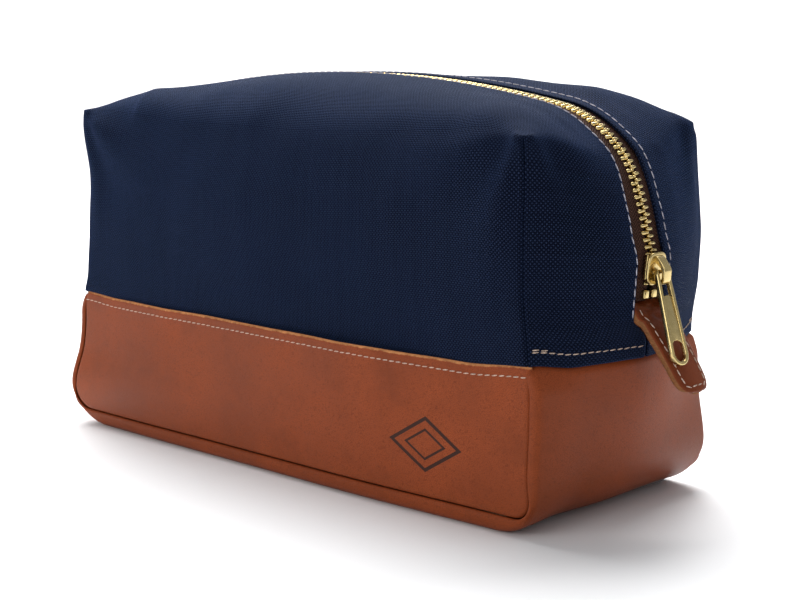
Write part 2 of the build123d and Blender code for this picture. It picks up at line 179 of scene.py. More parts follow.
def zip_line(run, inset=0.0):
    """Point and outward direction of the zip line at a distance from the crown."""
    crown = sizes().crown_height / MM
    side = abs(run)
    sign = 1.0 if run >= 0 else -1.0
    centre_z = crown - TOP_RADIUS
    corner_z = centre_z + (TOP_RADIUS - CORNER_RADIUS) * math.cos(TOP_SHARE)
    if side <= FLAT_RUN:
        angle = math.pi / 2 - side / TOP_RADIUS
        x = (TOP_RADIUS - inset) * math.cos(angle)
        z = centre_z + (TOP_RADIUS - inset) * math.sin(angle)
    else:
        turned = min((side - FLAT_RUN) / CORNER_RADIUS, CORNER_RUN / CORNER_RADIUS)
        angle = math.pi / 2 - TOP_SHARE - turned
        down = max(side - FLAT_RUN - CORNER_RUN, 0.0)
        x = CORNER_X + (CORNER_RADIUS - inset) * math.cos(angle) + down * math.sin(angle)
        z = corner_z + (CORNER_RADIUS - inset) * math.sin(angle) - down * math.cos(angle)
    return Vector((sign * x, 0, z)), Vector((sign * math.cos(angle), 0, math.sin(angle)))


def zip_run_at(height):
    """Distance along the zip line from the crown down to a height on the straight end."""
    low, high = 0.0, FLAT_RUN + CORNER_RUN + 100.0
    for _ in range(40):
        middle = (low + high) / 2
        if zip_line(middle)[0].z > height:
            low = middle
        else:
            high = middle
    return low


def seam_x(height):
    return float(np.interp(height, SEAM_HEIGHTS, SEAM_PLACES))


def fold_point(share):
    """Where the front wall folds over into the top: share 0 at mid bag, 1 at the pinched corner."""
    share = min(abs(share), 1.0)
    ease = share**3
    y = -46.4 - (PINCH[1] - 46.4) * ease
    z = 132.5 + (PINCH[2] - 132.5) * ease + 2.2 * smooth(share, 0.45, 0.8) * (1 - smooth(share, 0.86, 1))
    return Vector((PINCH[0] * share, y, z))


def strip_run(share):
    """Distance along the zip line for a share of the canvas strip, so that its squares meet the wall's."""
    step = (share * 2 - 1) * (FOLD_SQUARES / 2 + SEAM_SQUARES)
    if abs(step) <= FOLD_SQUARES / 2:
        return step / (FOLD_SQUARES / 2) * PINCH_RUN
    past = (abs(step) - FOLD_SQUARES / 2) / SEAM_SQUARES
    return math.copysign(PINCH_RUN + past * (zip_run_at(sizes().leather_height / MM) - PINCH_RUN), step)


def wall_foot():
    """Lower edge of the canvas wall, out of sight under the leather."""
    low = sizes().leather_height / MM
    return low - (PINCH[2] - low) * TUCK_SQUARES / SEAM_SQUARES


def strip_edge(run):
    """Outer edge of the canvas strip that follows the zip: along the top fold, then down the corner seam."""
    side = abs(run)
    sign = 1.0 if run >= 0 else -1.0
    if side <= PINCH_RUN:
        point = fold_point(side / PINCH_RUN)
    else:
        low = sizes().leather_height / MM
        share = (side - PINCH_RUN) / (zip_run_at(low) - PINCH_RUN)
        z = PINCH[2] + (low - PINCH[2]) * share
        point = Vector((seam_x(z), -PINCH[1] - 1.9 * smooth(share, 0.15, 1.0), z))
    point.x *= sign
    return point


def settle(point):
    """The way the filled bag leans: each upright corner its own way, and the zip bowed forwards over the slider."""
    x, y, z = point
    away = smooth(abs(x), 70, 122) * smooth(abs(y), 12, 46)
    move = Vector((0, 0, 0))
    if x > 0 and y > 0:
        push = 2.6 * smooth(z, 58, 100) - 1.5 * (1 - smooth(z, 56, 80))
        move += Vector((push, push, 0)) * away
    elif x < 0 and y < 0:
        pull_in = 4.0 * smooth(z, 50, 66) * (1 - smooth(z, 98, 130)) + 1.1 * (1 - smooth(z, 40, 76))
        move += Vector((pull_in, 0, 0)) * away
    bow = smooth(x, 104, 128) * smooth(z, 90, 101) * (1 - smooth(z, 108, 128)) * (1 - smooth(abs(y), 22, 44))
    move.y -= 2.4 * bow
    # the cloth fills out right behind each pinched tip
    tip = math.sqrt((abs(x) - PINCH[0]) ** 2 + (abs(y) - PINCH[1]) ** 2 + (z - PINCH[2]) ** 2)
    fill = 2.6 if y < 0 < x else 1.6
    move.z += fill * smooth(tip, 1, 9) * (1 - smooth(tip, 13, 36)) * smooth(z, 118, 131)
    if x > 0 and y > 0:
        move.z += 1.9 * (1 - smooth(tip, 4, 30))
    elif x < 0 and y < 0:
        move += Vector((-2.0, -0.5, 1.2)) * (1 - smooth(tip, 2, 26))
    # the top behind the zip stands fuller near the slider's end, and each lower corner is drawn up by its seam
    move.z += 2.6 * smooth(x, 25, 66) * (1 - smooth(x, 94, 116)) * smooth(y, 9, 20) * (1 - smooth(y, 34, 47))
    drawn = smooth(abs(x), 98, 126) * smooth(abs(y), 30, 48) * smooth(z, 30, 56) * (1 - smooth(z, 62, 100))
    move.z += (1.9 if x > 0 else 1.2) * drawn
    return move


def creases(point):
    """Soft unevenness of the canvas at a place, the same for every layer that passes there."""
    x, y, z = point
    calm = smooth(z, 58, 84)
    zip_fade = smooth(abs(y), 9, 26) if z > 100 or abs(x) > 126 else 1.0
    ripple = noise.noise_vector(Vector((x / 58, y / 34, z / 46)) + Vector((3.1, 7.7, 1.3)))
    fine = noise.noise_vector(Vector((x / 17, y / 15, z / 19)) + Vector((9.4, 2.2, 5.8)))
    move = ripple * 1.5 * calm * zip_fade + fine * 0.32 * calm * zip_fade
    # folds that run out of each pinched corner
    dx, dy, dz = abs(x) - PINCH[0], PINCH[1] - abs(y), PINCH[2] - z
    away = math.sqrt(dx * dx + dy * dy + dz * dz)
    if away < 75:
        lean = math.atan2(dz, -dx + 0.001) if dy < 4 else math.atan2(dz, dy)
        side = 1.0 if x > 0 else -1.0
        wave = math.sin(5.2 * lean + side * 0.9 + (0.7 if y > 0 else 0)) * smooth(away, 2, 14)
        fade = (1 - smooth(away, 10, 75)) * smooth(dz, 0, 8)
        depth = wave * fade * 1.25
        if dy < 4:
            move += Vector((0, math.copysign(1.0, y) * depth, 0)) * smooth(-dx, 0, 8)
        else:
            move += Vector((side * depth, 0, 0)) * smooth(dy, 4, 12)
    if y > 0:  # the back cloth laps further over the tape
        move.y -= 2.7 * (1 - smooth(y, 8.6, 21)) * smooth(z, 72, 86)
    return point + move + settle(point)


def canvas_strip(run, share):
    """Canvas from the zip edge, share 0, out to the fold or corner seam, share 1, on the front side."""
    edge = strip_edge(run)
    side = abs(run)
    point, out = zip_line(run)
    closing = 1 - 0.97 * (1 - smooth(point.z, 63, 72)) if side > PINCH_RUN else 1.0
    start = Vector((point.x, -sizes().zip_edge / MM * closing, point.z))
    length = (edge - start).length
    sign = 1.0 if run >= 0 else -1.0
    on_top = 1 - smooth(side, 100, PINCH_RUN)
    on_end = smooth(side, PINCH_RUN, 165)
    straight = (start - edge).normalized()
    steep = math.radians(74 - 8 * smooth(side, 60, PINCH_RUN))
    fold_way = Vector((0, math.cos(steep), math.sin(steep)))
    end_way = Vector((sign * 0.42, 0.9, 0)).normalized()
    corner_way = (straight + out * 0.12).normalized()
    rest = max(1 - on_top - on_end, 0.0)
    way = (fold_way * on_top + end_way * on_end + corner_way * rest).normalized()
    low = smooth(side, 165, 200)
    leave = (Vector((0, -1, 0)) * (1 - 0.75 * low) - straight * (0.75 * low)).normalized()
    a = start + leave * length * 0.32
    b = edge + way * length * (0.33 + 0.09 * smooth(side, 60, 120) * (1 - smooth(side, 140, 175)))
    t = share
    place = start * (1 - t) ** 3 + a * 3 * t * (1 - t) ** 2 + b * 3 * t * t * (1 - t) + edge * t**3
    return place


def canvas_wall(across, up):
    """Front canvas wall: across -1 to 1, up 0 under the leather to 1 at the fold."""
    fold = fold_point(across)
    low, foot = sizes().leather_height / MM, wall_foot()
    z = foot + up * (fold.z - foot)
    half = seam_x(z)
    x = across * half
    share = abs(across)
    rise = smooth(z, 57, 95) * (1 - smooth(z, 108, 136))
    wall = -48.9 - 1.9 * rise * (1 - share**4)
    seam = -PINCH[1] - 1.9 * smooth((PINCH[2] - z) / (PINCH[2] - low), 0.15, 1.0)
    gap, reach = half - abs(x), 7 + 7 * smooth(z, 80, 130)
    if gap < reach:
        turn = (1 - ((reach - gap) / reach) ** 2.4) ** 0.5
        wall = seam + (wall - seam) * turn
    reach = 34 - 26 * share**3
    if z > fold.z - reach:
        q = (z - fold.z + reach) / reach
        wall += (fold.y - wall) * q * q
    under = smooth(low - z, 0, 2.5)
    return Vector((x * (1 - 0.035 * under * share**4), wall + 2.4 * under, z))


# ---- mesh helpers ----
def sheet_mesh(columns, rows, place, weave_place):
    """A grid whose vertices are put in place by their two shares, with cloth coordinates in metres."""
    bm = bmesh.new()
    uv = bm.loops.layers.uv.new("cloth")
    bmesh.ops.create_grid(bm, x_segments=columns, y_segments=rows, size=0.5)
    for face in bm.faces:
        for loop in face.loops:
            a, b = loop.vert.co.x + 0.5, loop.vert.co.y + 0.5
            loop[uv].uv = [value * MM for value in weave_place(a, b)]
    for vert in bm.verts:
        vert.co = Vector(place(vert.co.x + 0.5, vert.co.y + 0.5)) * MM
    return bm


def join(parts):
    """Several bmeshes as one."""
    whole = bmesh.new()
    for part in parts:
        mesh = bpy.data.meshes.new("part")
        part.to_mesh(mesh)
        part.free()
        whole.from_mesh(mesh)
        bpy.data.meshes.remove(mesh)
    return whole


def face_out(bm, centre):
    """Turns the faces of an open sheet away from a point, in metres."""
    bmesh.ops.recalc_face_normals(bm, faces=bm.faces)
    middle = Vector(centre)
    total = sum((f.normal.dot(f.calc_center_median() - middle) * f.calc_area() for f in bm.faces), 0.0)
    if total < 0:
        bmesh.ops.reverse_faces(bm, faces=bm.faces)


def make_object(bm, name, *materials):
    """An object in the scene from a bmesh, smooth shaded, with its materials."""
    mesh = bpy.data.meshes.new(name)
    bm.to_mesh(mesh)
    bm.free()
    for material in materials:
        mesh.materials.append(material)
    obj = bpy.data.objects.new(name, mesh)
    bpy.context.scene.collection.objects.link(obj)
    mesh.shade_smooth()
    return obj


def thicken(obj, thickness, rim=0, even=True):
    """Gives a sheet its thickness, inwards."""
    shell = obj.modifiers.new("Thickness", "SOLIDIFY")
    shell.thickness = thickness
    shell.offset = -1
    shell.use_even_offset = even
    shell.material_offset_rim = rim


def soften(obj, levels=1):
    rounded = obj.modifiers.new("Rounding", "SUBSURF")
    rounded.levels = levels
    rounded.render_levels = levels


def mirror_y(bm):
    """The same shape on the back side."""
    bmesh.ops.scale(bm, vec=(1, -1, 1), verts=bm.verts)
    bmesh.ops.reverse_faces(bm, faces=bm.faces)


def stitch_row(path, normals, spacing=None, sunk=0.25):
    """Separate stitches along a path, in millimetres, each lying on the surface with its normal."""
    bm = bmesh.new()
    spacing = spacing or sizes().stitch_length / MM
    radius = sizes().thread / MM / 2
    lengths = [0.0]
    for a, b in zip(path, path[1:]):
        lengths.append(lengths[-1] + (b - a).length)
    count = max(int(lengths[-1] / spacing), 1)
    step = lengths[-1] / count
    seed = 0
    for n in range(count):
        middle = (n + 0.5) * step
        i = max(min(int(np.searchsorted(lengths, middle)), len(path) - 1), 1)
        share = (middle - lengths[i - 1]) / max(lengths[i] - lengths[i - 1], 1e-6)
        place = path[i - 1].lerp(path[i], share)
        along = (path[i] - path[i - 1]).normalized()
        up = normals[i - 1].lerp(normals[i], share).normalized()
        across = up.cross(along).normalized()
        seed += 1
        wander = noise.noise(Vector((seed * 1.7, place.x, place.z))) * 0.14
        turn = Matrix.Rotation(0.10 + wander * 0.5, 3, up)
        along, across = turn @ along, turn @ across
        frame_matrix = Matrix((along, across, up)).transposed().to_4x4()
        frame_matrix.translation = (place + across * wander + up * (radius * (1 - 2 * sunk))) * MM
        size = Matrix.Diagonal((step * 0.41 * MM, radius * MM, radius * 0.9 * MM, 1))
        bmesh.ops.create_uvsphere(
            bm, u_segments=6, v_segments=5, radius=1.0, matrix=frame_matrix @ size @ Matrix.Rotation(math.pi / 2, 4, "Y")
        )
    return bm


# ---- material helpers ----
def new_material(name):
    material = bpy.data.materials.new(name)
    material.use_nodes = True
    tree = material.node_tree
    return material, tree, tree.nodes["Principled BSDF"]


def node(tree, kind, **settings):
    made = tree.nodes.new(kind)
    for key, value in settings.items():
        if key in made.inputs:
            made.inputs[key].default_value = value
        else:
            setattr(made, key, value)
    return made


def maths(tree, operation, a, b=None, clamp=False):
    made = tree.nodes.new("ShaderNodeMath")
    made.operation = operation
    made.use_clamp = clamp
    for index, value in enumerate((a, b)):
        if value is None:
            continue
        if isinstance(value, (int, float)):
            made.inputs[index].default_value = value
        else:
            tree.links.new(value, made.inputs[index])
    return made.outputs[0]


def mix_colour(tree, factor, a, b, blend="MIX"):
    made = tree.nodes.new("ShaderNodeMix")
    made.data_type = "RGBA"
    made.blend_type = blend
    sockets = (made.inputs[0], made.inputs[6], made.inputs[7])
    for socket, value in zip(sockets, (factor, a, b)):
        if isinstance(value, (int, float)):
            socket.default_value = value
        elif isinstance(value, (tuple, list)):
            socket.default_value = (*value[:3], 1)
        else:
            tree.links.new(value, socket)
    return made.outputs[2]


def scaled(colour, factor):
    return tuple(min(max(c * factor, 0), 1) for c in colour[:3])


def noise_field(tree, scale, detail=3.0, roughness=0.5, source=None, stretch=None):
    """Noise in object coordinates, or in the coordinates given."""
    if source is None:
        source = tree.nodes.new("ShaderNodeTexCoord").outputs["Object"]
    if stretch:
        mapping = tree.nodes.new("ShaderNodeMapping")
        mapping.inputs["Scale"].default_value = stretch
        tree.links.new(source, mapping.inputs["Vector"])
        source = mapping.outputs["Vector"]
    field = node(tree, "ShaderNodeTexNoise", Scale=scale, Detail=detail, Roughness=roughness)
    tree.links.new(source, field.inputs["Vector"])
    return field.outputs["Fac"]


def ramp(tree, value, low, high, to_low=0.0, to_high=1.0):
    made = tree.nodes.new("ShaderNodeMapRange")
    tree.links.new(value, made.inputs["Value"])
    for key, number in (("From Min", low), ("From Max", high), ("To Min", to_low), ("To Max", to_high)):
        made.inputs[key].default_value = number
    return made.outputs["Result"]


def bump(tree, shader, height, distance, strength=1.0, under=None):
    made = tree.nodes.new("ShaderNodeBump")
    made.inputs["Distance"].default_value = distance
    made.inputs["Strength"].default_value = strength
    tree.links.new(height, made.inputs["Height"])
    if under is not None:
        tree.links.new(under, made.inputs["Normal"])
    if shader is not None:
        tree.links.new(made.outputs["Normal"], shader.inputs["Normal"])
    return made.outputs["Normal"]


def weave_fields(tree, pitch, map_name="cloth"):
    """Height of a plain weave, and a value for each warp and weft thread."""
    coords = tree.nodes.new("ShaderNodeUVMap")
    coords.uv_map = map_name
    split = tree.nodes.new("ShaderNodeSeparateXYZ")
    tree.links.new(coords.outputs["UV"], split.inputs["Vector"])
    u = maths(tree, "MULTIPLY", split.outputs["X"], 1 / pitch)
    v = maths(tree, "MULTIPLY", split.outputs["Y"], 1 / pitch)
    fu, fv = maths(tree, "FRACT", u), maths(tree, "FRACT", v)
    iu, iv = maths(tree, "FLOOR", u), maths(tree, "FLOOR", v)
    round_u = maths(tree, "MULTIPLY", maths(tree, "MULTIPLY", fu, maths(tree, "SUBTRACT", 1.0, fu)), 4.0)
    round_v = maths(tree, "MULTIPLY", maths(tree, "MULTIPLY", fv, maths(tree, "SUBTRACT", 1.0, fv)), 4.0)
    parity = maths(tree, "PINGPONG", maths(tree, "ADD", iu, iv), 1.0)
    warp = maths(tree, "MULTIPLY", maths(tree, "POWER", round_u, 0.7), maths(tree, "ADD", 0.35, maths(tree, "MULTIPLY", round_v, 0.65)))
    weft = maths(tree, "MULTIPLY", maths(tree, "POWER", round_v, 0.7), maths(tree, "ADD", 0.35, maths(tree, "MULTIPLY", round_u, 0.65)))
    picked = tree.nodes.new("ShaderNodeMix")
    picked.data_type = "FLOAT"
    tree.links.new(parity, picked.inputs[0])
    tree.links.new(warp, picked.inputs[2])
    tree.links.new(weft, picked.inputs[3])
    threads = []
    for index, offset in ((iu, 11.3), (iv, 47.9)):
        white = tree.nodes.new("ShaderNodeTexWhiteNoise")
        white.noise_dimensions = "1D"
        tree.links.new(maths(tree, "ADD", index, offset), white.inputs["W"])
        threads.append(white.outputs["Value"])
    return picked.outputs[0], parity, threads


def canvas_material():
    """Navy basket-weave canvas with painted highlights, bright flecks on the crowns of the threads where they turn
    over, and painted shade in the hollows between them.
    """
    base = colours().canvas
    material, tree, shader = new_material("canvas_navy")
    height, parity, (warp, weft) = weave_fields(tree, sizes().weave)
    thread = tree.nodes.new("ShaderNodeMix")
    thread.data_type = "FLOAT"
    tree.links.new(parity, thread.inputs[0])
    tree.links.new(warp, thread.inputs[2])
    tree.links.new(weft, thread.inputs[3])
    lit = mix_colour(tree, thread.outputs[0], scaled(base, 0.55), scaled(base, 0.8))
    # painted highlight: the crowns of the threads, mostly where one set lies on top, are mixed towards a bright blue
    bright = maths(tree, "ADD", 0.03, maths(tree, "MULTIPLY", parity, maths(tree, "ADD", 0.6, maths(tree, "MULTIPLY", warp, 0.2))))
    painted_crown_highlight = maths(tree, "MULTIPLY", maths(tree, "POWER", height, 3.0), bright)
    lit = mix_colour(tree, painted_crown_highlight, lit, (base[0] * 6 + 0.014, base[1] * 5.4 + 0.020, base[2] * 4.2 + 0.040))
    # painted shade: the low places of the weave, between the threads, darken towards a fifth of the base colour
    shaded = mix_colour(tree, ramp(tree, height, 0.0, 0.45), scaled(base, 0.2), lit)
    patch = noise_field(tree, 24.0, 4.0, 0.6)
    worn = mix_colour(tree, ramp(tree, patch, 0.35, 0.75, 0.0, 0.3), shaded, scaled(base, 1.9))
    tree.links.new(worn, shader.inputs["Base Color"])
    tree.links.new(ramp(tree, height, 0.0, 1.0, 0.85, 0.62), shader.inputs["Roughness"])
    shader.inputs["Specular IOR Level"].default_value = 0.02
    shader.inputs["Sheen Weight"].default_value = 0.23
    shader.inputs["Sheen Roughness"].default_value = 0.28
    shader.inputs["Sheen Tint"].default_value = (0.2, 0.38, 0.95, 1)
    fuzz = noise_field(tree, 2600.0, 2.0, 0.6)
    under = bump(tree, None, fuzz, 0.00006, 0.5)
    bump(tree, shader, height, 0.00026, 1.0, under)
    return material


def leather_material(name="leather_tan", shade=1.0, gloss=0.42, mark=False, raw_top=False):
    """Dressed tan leather: clouded colour, fine pores, small scuffs."""
    base = scaled(colours().leather, shade)
    material, tree, shader = new_material(name)
    cloud = noise_field(tree, 16.0, 5.0, 0.62)
    pale = mix_colour(tree, ramp(tree, cloud, 0.32, 0.72), scaled(base, 0.74), scaled(base, 1.22))
    blotch = noise_field(tree, 55.0, 3.0, 0.7)
    tone = mix_colour(tree, ramp(tree, blotch, 0.52, 0.8, 0.0, 0.5), pale, scaled(base, 0.55))
    pores = tree.nodes.new("ShaderNodeTexVoronoi")
    pores.feature = "DISTANCE_TO_EDGE"
    pores.inputs["Scale"].default_value = 1500.0
    coords = tree.nodes.new("ShaderNodeTexCoord")
    tree.links.new(coords.outputs["Object"], pores.inputs["Vector"])
    creased = ramp(tree, pores.outputs["Distance"], 0.0, 0.12)
    tone = mix_colour(tree, creased, scaled(base, 0.62), tone)
    scuff = noise_field(tree, 30.0, 6.0, 0.75, stretch=(1.0, 1.0, 4.0))
    tone = mix_colour(tree, ramp(tree, scuff, 0.66, 0.8, 0.0, 0.35), tone, scaled(base, 1.8))
    if mark:
        tone = etched(tree, tone, coords)
    if raw_top:  # the dressed face is shaved away along the cut top edge
        cloth = tree.nodes.new("ShaderNodeUVMap")
        cloth.uv_map = "cloth"
        split = tree.nodes.new("ShaderNodeSeparateXYZ")
        tree.links.new(cloth.outputs["UV"], split.inputs["Vector"])
        fuzz = noise_field(tree, 420.0, 4.0, 0.7)
        line = maths(tree, "ADD", split.outputs["Y"], maths(tree, "MULTIPLY", fuzz, 0.0012))
        fibre = mix_colour(tree, ramp(tree, fuzz, 0.35, 0.7), scaled(colours().raw_edge, 0.5), scaled(colours().raw_edge, 0.95))
        tone = mix_colour(tree, ramp(tree, line, 0.04965, 0.0501), tone, fibre)
    tree.links.new(tone, shader.inputs["Base Color"])
    tree.links.new(ramp(tree, cloud, 0.3, 0.7, gloss - 0.07, gloss + 0.1), shader.inputs["Roughness"])
    shader.inputs["Specular IOR Level"].default_value = 0.11
    shader.inputs["Coat Weight"].default_value = 0.02
    shader.inputs["Coat Roughness"].default_value = 0.3
    grain = noise_field(tree, 900.0, 3.0, 0.6)
    under = bump(tree, None, grain, 0.00009, 0.7)
    bump(tree, shader, creased, 0.00005, 0.6, under)
    return material


def etched(tree, tone, coords):
    """A plain pair of nested lozenges, burnt dark into the leather."""
    split = tree.nodes.new("ShaderNodeSeparateXYZ")
    tree.links.new(coords.outputs["Object"], split.inputs["Vector"])
    x = maths(tree, "ABSOLUTE", maths(tree, "SUBTRACT", split.outputs["X"], 0.083))
    z = maths(tree, "ABSOLUTE", maths(tree, "SUBTRACT", split.outputs["Z"], 0.026))
    reach = maths(tree, "ADD", maths(tree, "DIVIDE", x, 0.0165), maths(tree, "DIVIDE", z, 0.0100))
    lines = None
    for middle, half in ((0.92, 0.075), (0.52, 0.05)):
        away = maths(tree, "ABSOLUTE", maths(tree, "SUBTRACT", reach, middle))
        line = maths(tree, "LESS_THAN", away, half)
        lines = line if lines is None else maths(tree, "MAXIMUM", lines, line)
    return mix_colour(tree, maths(tree, "MULTIPLY", lines, 0.9), tone, (0.018, 0.012, 0.010))


def raw_edge_material(name="leather_raw_edge", shade=1.0):
    """Cut edge of the leather: pale fibres in layers."""
    base = scaled(colours().raw_edge, shade)
    material, tree, shader = new_material(name)
    fibre = noise_field(tree, 700.0, 5.0, 0.7, stretch=(1.0, 1.0, 3.0))
    tone = mix_colour(tree, ramp(tree, fibre, 0.3, 0.7), scaled(base, 0.45), scaled(base, 1.1))
    tree.links.new(tone, shader.inputs["Base Color"])
    shader.inputs["Roughness"].default_value = 0.85
    shader.inputs["Specular IOR Level"].default_value = 0.2
    bump(tree, shader, fibre, 0.0003, 0.8)
    return material


def thread_material(name="thread_cream", base=None):
    """Twisted sewing thread."""
    base = base or tuple(colours().thread)
    material, tree, shader = new_material(name)
    twist = noise_field(tree, 1800.0, 2.0, 0.5)
    tone = mix_colour(tree, ramp(tree, twist, 0.35, 0.65), scaled(base, 0.6), scaled(base, 1.2))
    tree.links.new(tone, shader.inputs["Base Color"])
    shader.inputs["Roughness"].default_value = 0.7
    shader.inputs["Specular IOR Level"].default_value = 0.2
    bump(tree, shader, twist, 0.0001, 0.6)
    return material


def brass_material():
    """Polished brass with faint scratches and a clouded tone."""
    base = colours().brass
    material, tree, shader = new_material("brass_polished")
    cloud = noise_field(tree, 160.0, 4.0, 0.6)
    tone = mix_colour(tree, ramp(tree, cloud, 0.3, 0.7), scaled(base, 0.78), scaled(base, 1.08))
    tree.links.new(tone, shader.inputs["Base Color"])
    shader.inputs["Metallic"].default_value = 1.0
    tree.links.new(ramp(tree, cloud, 0.3, 0.7, 0.16, 0.3), shader.inputs["Roughness"])
    lines = noise_field(tree, 900.0, 3.0, 0.7, stretch=(1.0, 6.0, 1.0))
    bump(tree, shader, lines, 0.00003, 0.5)
    return material


def tape_material():
    """Brown herringbone tape of the zip."""
    base = colours().tape
    material, tree, shader = new_material("zip_tape_brown")
    coords = tree.nodes.new("ShaderNodeUVMap")
    coords.uv_map = "cloth"
    split = tree.nodes.new("ShaderNodeSeparateXYZ")
    tree.links.new(coords.outputs["UV"], split.inputs["Vector"])
    band = maths(tree, "PINGPONG", maths(tree, "MULTIPLY", split.outputs["Y"], 1 / 0.0022), 1.0)
    slant = maths(tree, "ADD", maths(tree, "MULTIPLY", split.outputs["X"], 1 / 0.0012), maths(tree, "MULTIPLY", band, 1.6))
    rib = maths(tree, "PINGPONG", slant, 0.5)
    rib = maths(tree, "MULTIPLY", rib, 2.0)
    tone = mix_colour(tree, rib, scaled(base, 0.35), scaled(base, 2.1))
    patch = noise_field(tree, 60.0, 3.0, 0.6)
    tone = mix_colour(tree, ramp(tree, patch, 0.4, 0.8, 0.0, 0.4), tone, scaled(base, 2.6))
    tree.links.new(tone, shader.inputs["Base Color"])
    shader.inputs["Roughness"].default_value = 0.8
    shader.inputs["Specular IOR Level"].default_value = 0.08
    bump(tree, shader, rib, 0.0003, 1.0)
    return material


def lining_material(name="lining_cotton", shade=1.0, pitch=0.0006):
    """Plain cotton lining, with painted shade in the hollows of its weave."""
    base = scaled(colours().lining, shade)
    material, tree, shader = new_material(name)
    height, _, (warp, weft) = weave_fields(tree, pitch)
    slub = maths(tree, "MULTIPLY", maths(tree, "ADD", warp, weft), 0.5)
    tone = mix_colour(tree, slub, scaled(base, 0.8), scaled(base, 1.15))
    # painted shade: the low places of the weave, between the threads, darken to about half the base colour
    tone = mix_colour(tree, ramp(tree, height, 0.0, 0.5), scaled(base, 0.55), tone)
    patch = noise_field(tree, 18.0, 4.0, 0.6)
    tone = mix_colour(tree, ramp(tree, patch, 0.4, 0.8, 0.0, 0.3), tone, scaled(base, 0.7))
    tree.links.new(tone, shader.inputs["Base Color"])
    shader.inputs["Roughness"].default_value = 0.85
    shader.inputs["Sheen Weight"].default_value = 0.15
    bump(tree, shader, height, 0.0002, 0.9)
    return material


_made = {}


def shared(name, maker, *arguments, **options):
    """A material that several pieces share, made once."""
    if name not in _made:
        _made[name] = maker(*arguments, **options)
    return _made[name]


def bend_with_lip(obj):
    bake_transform(obj)


def flare(point):
    """The leather base spreads a little where the bag sags, most at two opposite corners."""
    x, y, z = point
    bell = math.exp(-(((z - 18) / 17) ** 2))
    front_left = smooth(-x, 30, 128) * (1.0 if y < -20 else 0.0)
    back_right = smooth(x, 30, 128) * (1.0 if y > 20 else 0.0)
    corner = (front_left + back_right) * smooth(abs(y), 20, 46)
    near = smooth(x, 60, 128) * smooth(-y, 20, 46)
    spread = Vector((0.6, 0.5, 0)) if x > 0 else Vector((-2.4, -1.4, 0))
    move = spread * corner * bell
    move += Vector((2.2, 0.4, 0)) * near * math.exp(-(((z - 4) / 12) ** 2)) + Vector((1.2, 0, 0)) * near
    if x < 0 and y < 0:
        move += Vector((1.5, 1.2, 0)) * smooth(-x, 60, 126) * smooth(-y, 20, 46) * smooth(z, 14, 34)
    # the walls close in towards the corners, most at the two that don't spread
    tight, loose = (x, -x) if y < 0 else (-x, x)
    move.y -= math.copysign(2.9 * smooth(tight, 35, 127) + 0.8 * smooth(loose, 60, 127), y) * smooth(abs(y), 20, 46)
    move.y += math.copysign(0.9, y) * bell * smooth(abs(y), 30, 50)
    ripple = noise.noise_vector(Vector((x / 70, y / 40, z / 30)) + Vector((2.2, 8.1, 4.4)))
    move += Vector((ripple.x * 0.5, ripple.y * 0.7, 0)) * smooth(z, 4, 16)
    return point + move + settle(point) * smooth(z, 12, 45)


def leather_panel(across, up):
    """Front leather panel: across -1 to 1, up 0 at the base seam to 1 at the raw edge."""
    low, high = 6.3, sizes().leather_height / MM
    up = 0.5 * up + 0.5 * up * up
    across = 0.6 * across + 0.4 * math.sin(across * math.pi / 2)
    z = low + (high - low) * up
    corner = 10.0
    edge = half = 126.4 if across > 0 else 125.6
    if z - low < corner:
        half -= corner - math.sqrt(max(corner**2 - (corner - (z - low)) ** 2, 0))
    x = across * half
    y = -51.0 - 0.9 * math.sin(math.pi * min(up, 0.9)) * (1 - across**4)
    y -= 1.1 * math.exp(-(((x - 55) / 45) ** 2)) * smooth(z, 30, 57)
    turn = 2.1
    away = min(half - abs(x), z - low)
    if abs(x) > edge - corner and z - low < corner:
        reach = math.hypot(abs(x) - (edge - corner), corner - (z - low))
        away = min(away, max(corner - reach, 0))
    if away < turn:
        y += turn - math.sqrt(max(turn**2 - (turn - away) ** 2, 0))
    z += 0.35 * noise.noise(Vector((x / 26, 3.3, 0))) * smooth(up, 0.9, 1)
    return flare(Vector((x, y, z)))


def end_reach(y, fill=1.0):
    """How far the end leather stands out at a place across it."""
    q = (math.sqrt(y * y + 49) - 7) / (math.sqrt(50.6**2 + 49) - 7)
    q = min(q, 1.0)
    return 129.4 + 7.9 * fill * (0.78 * (1 - q) + 0.22 * (1 - q * q))


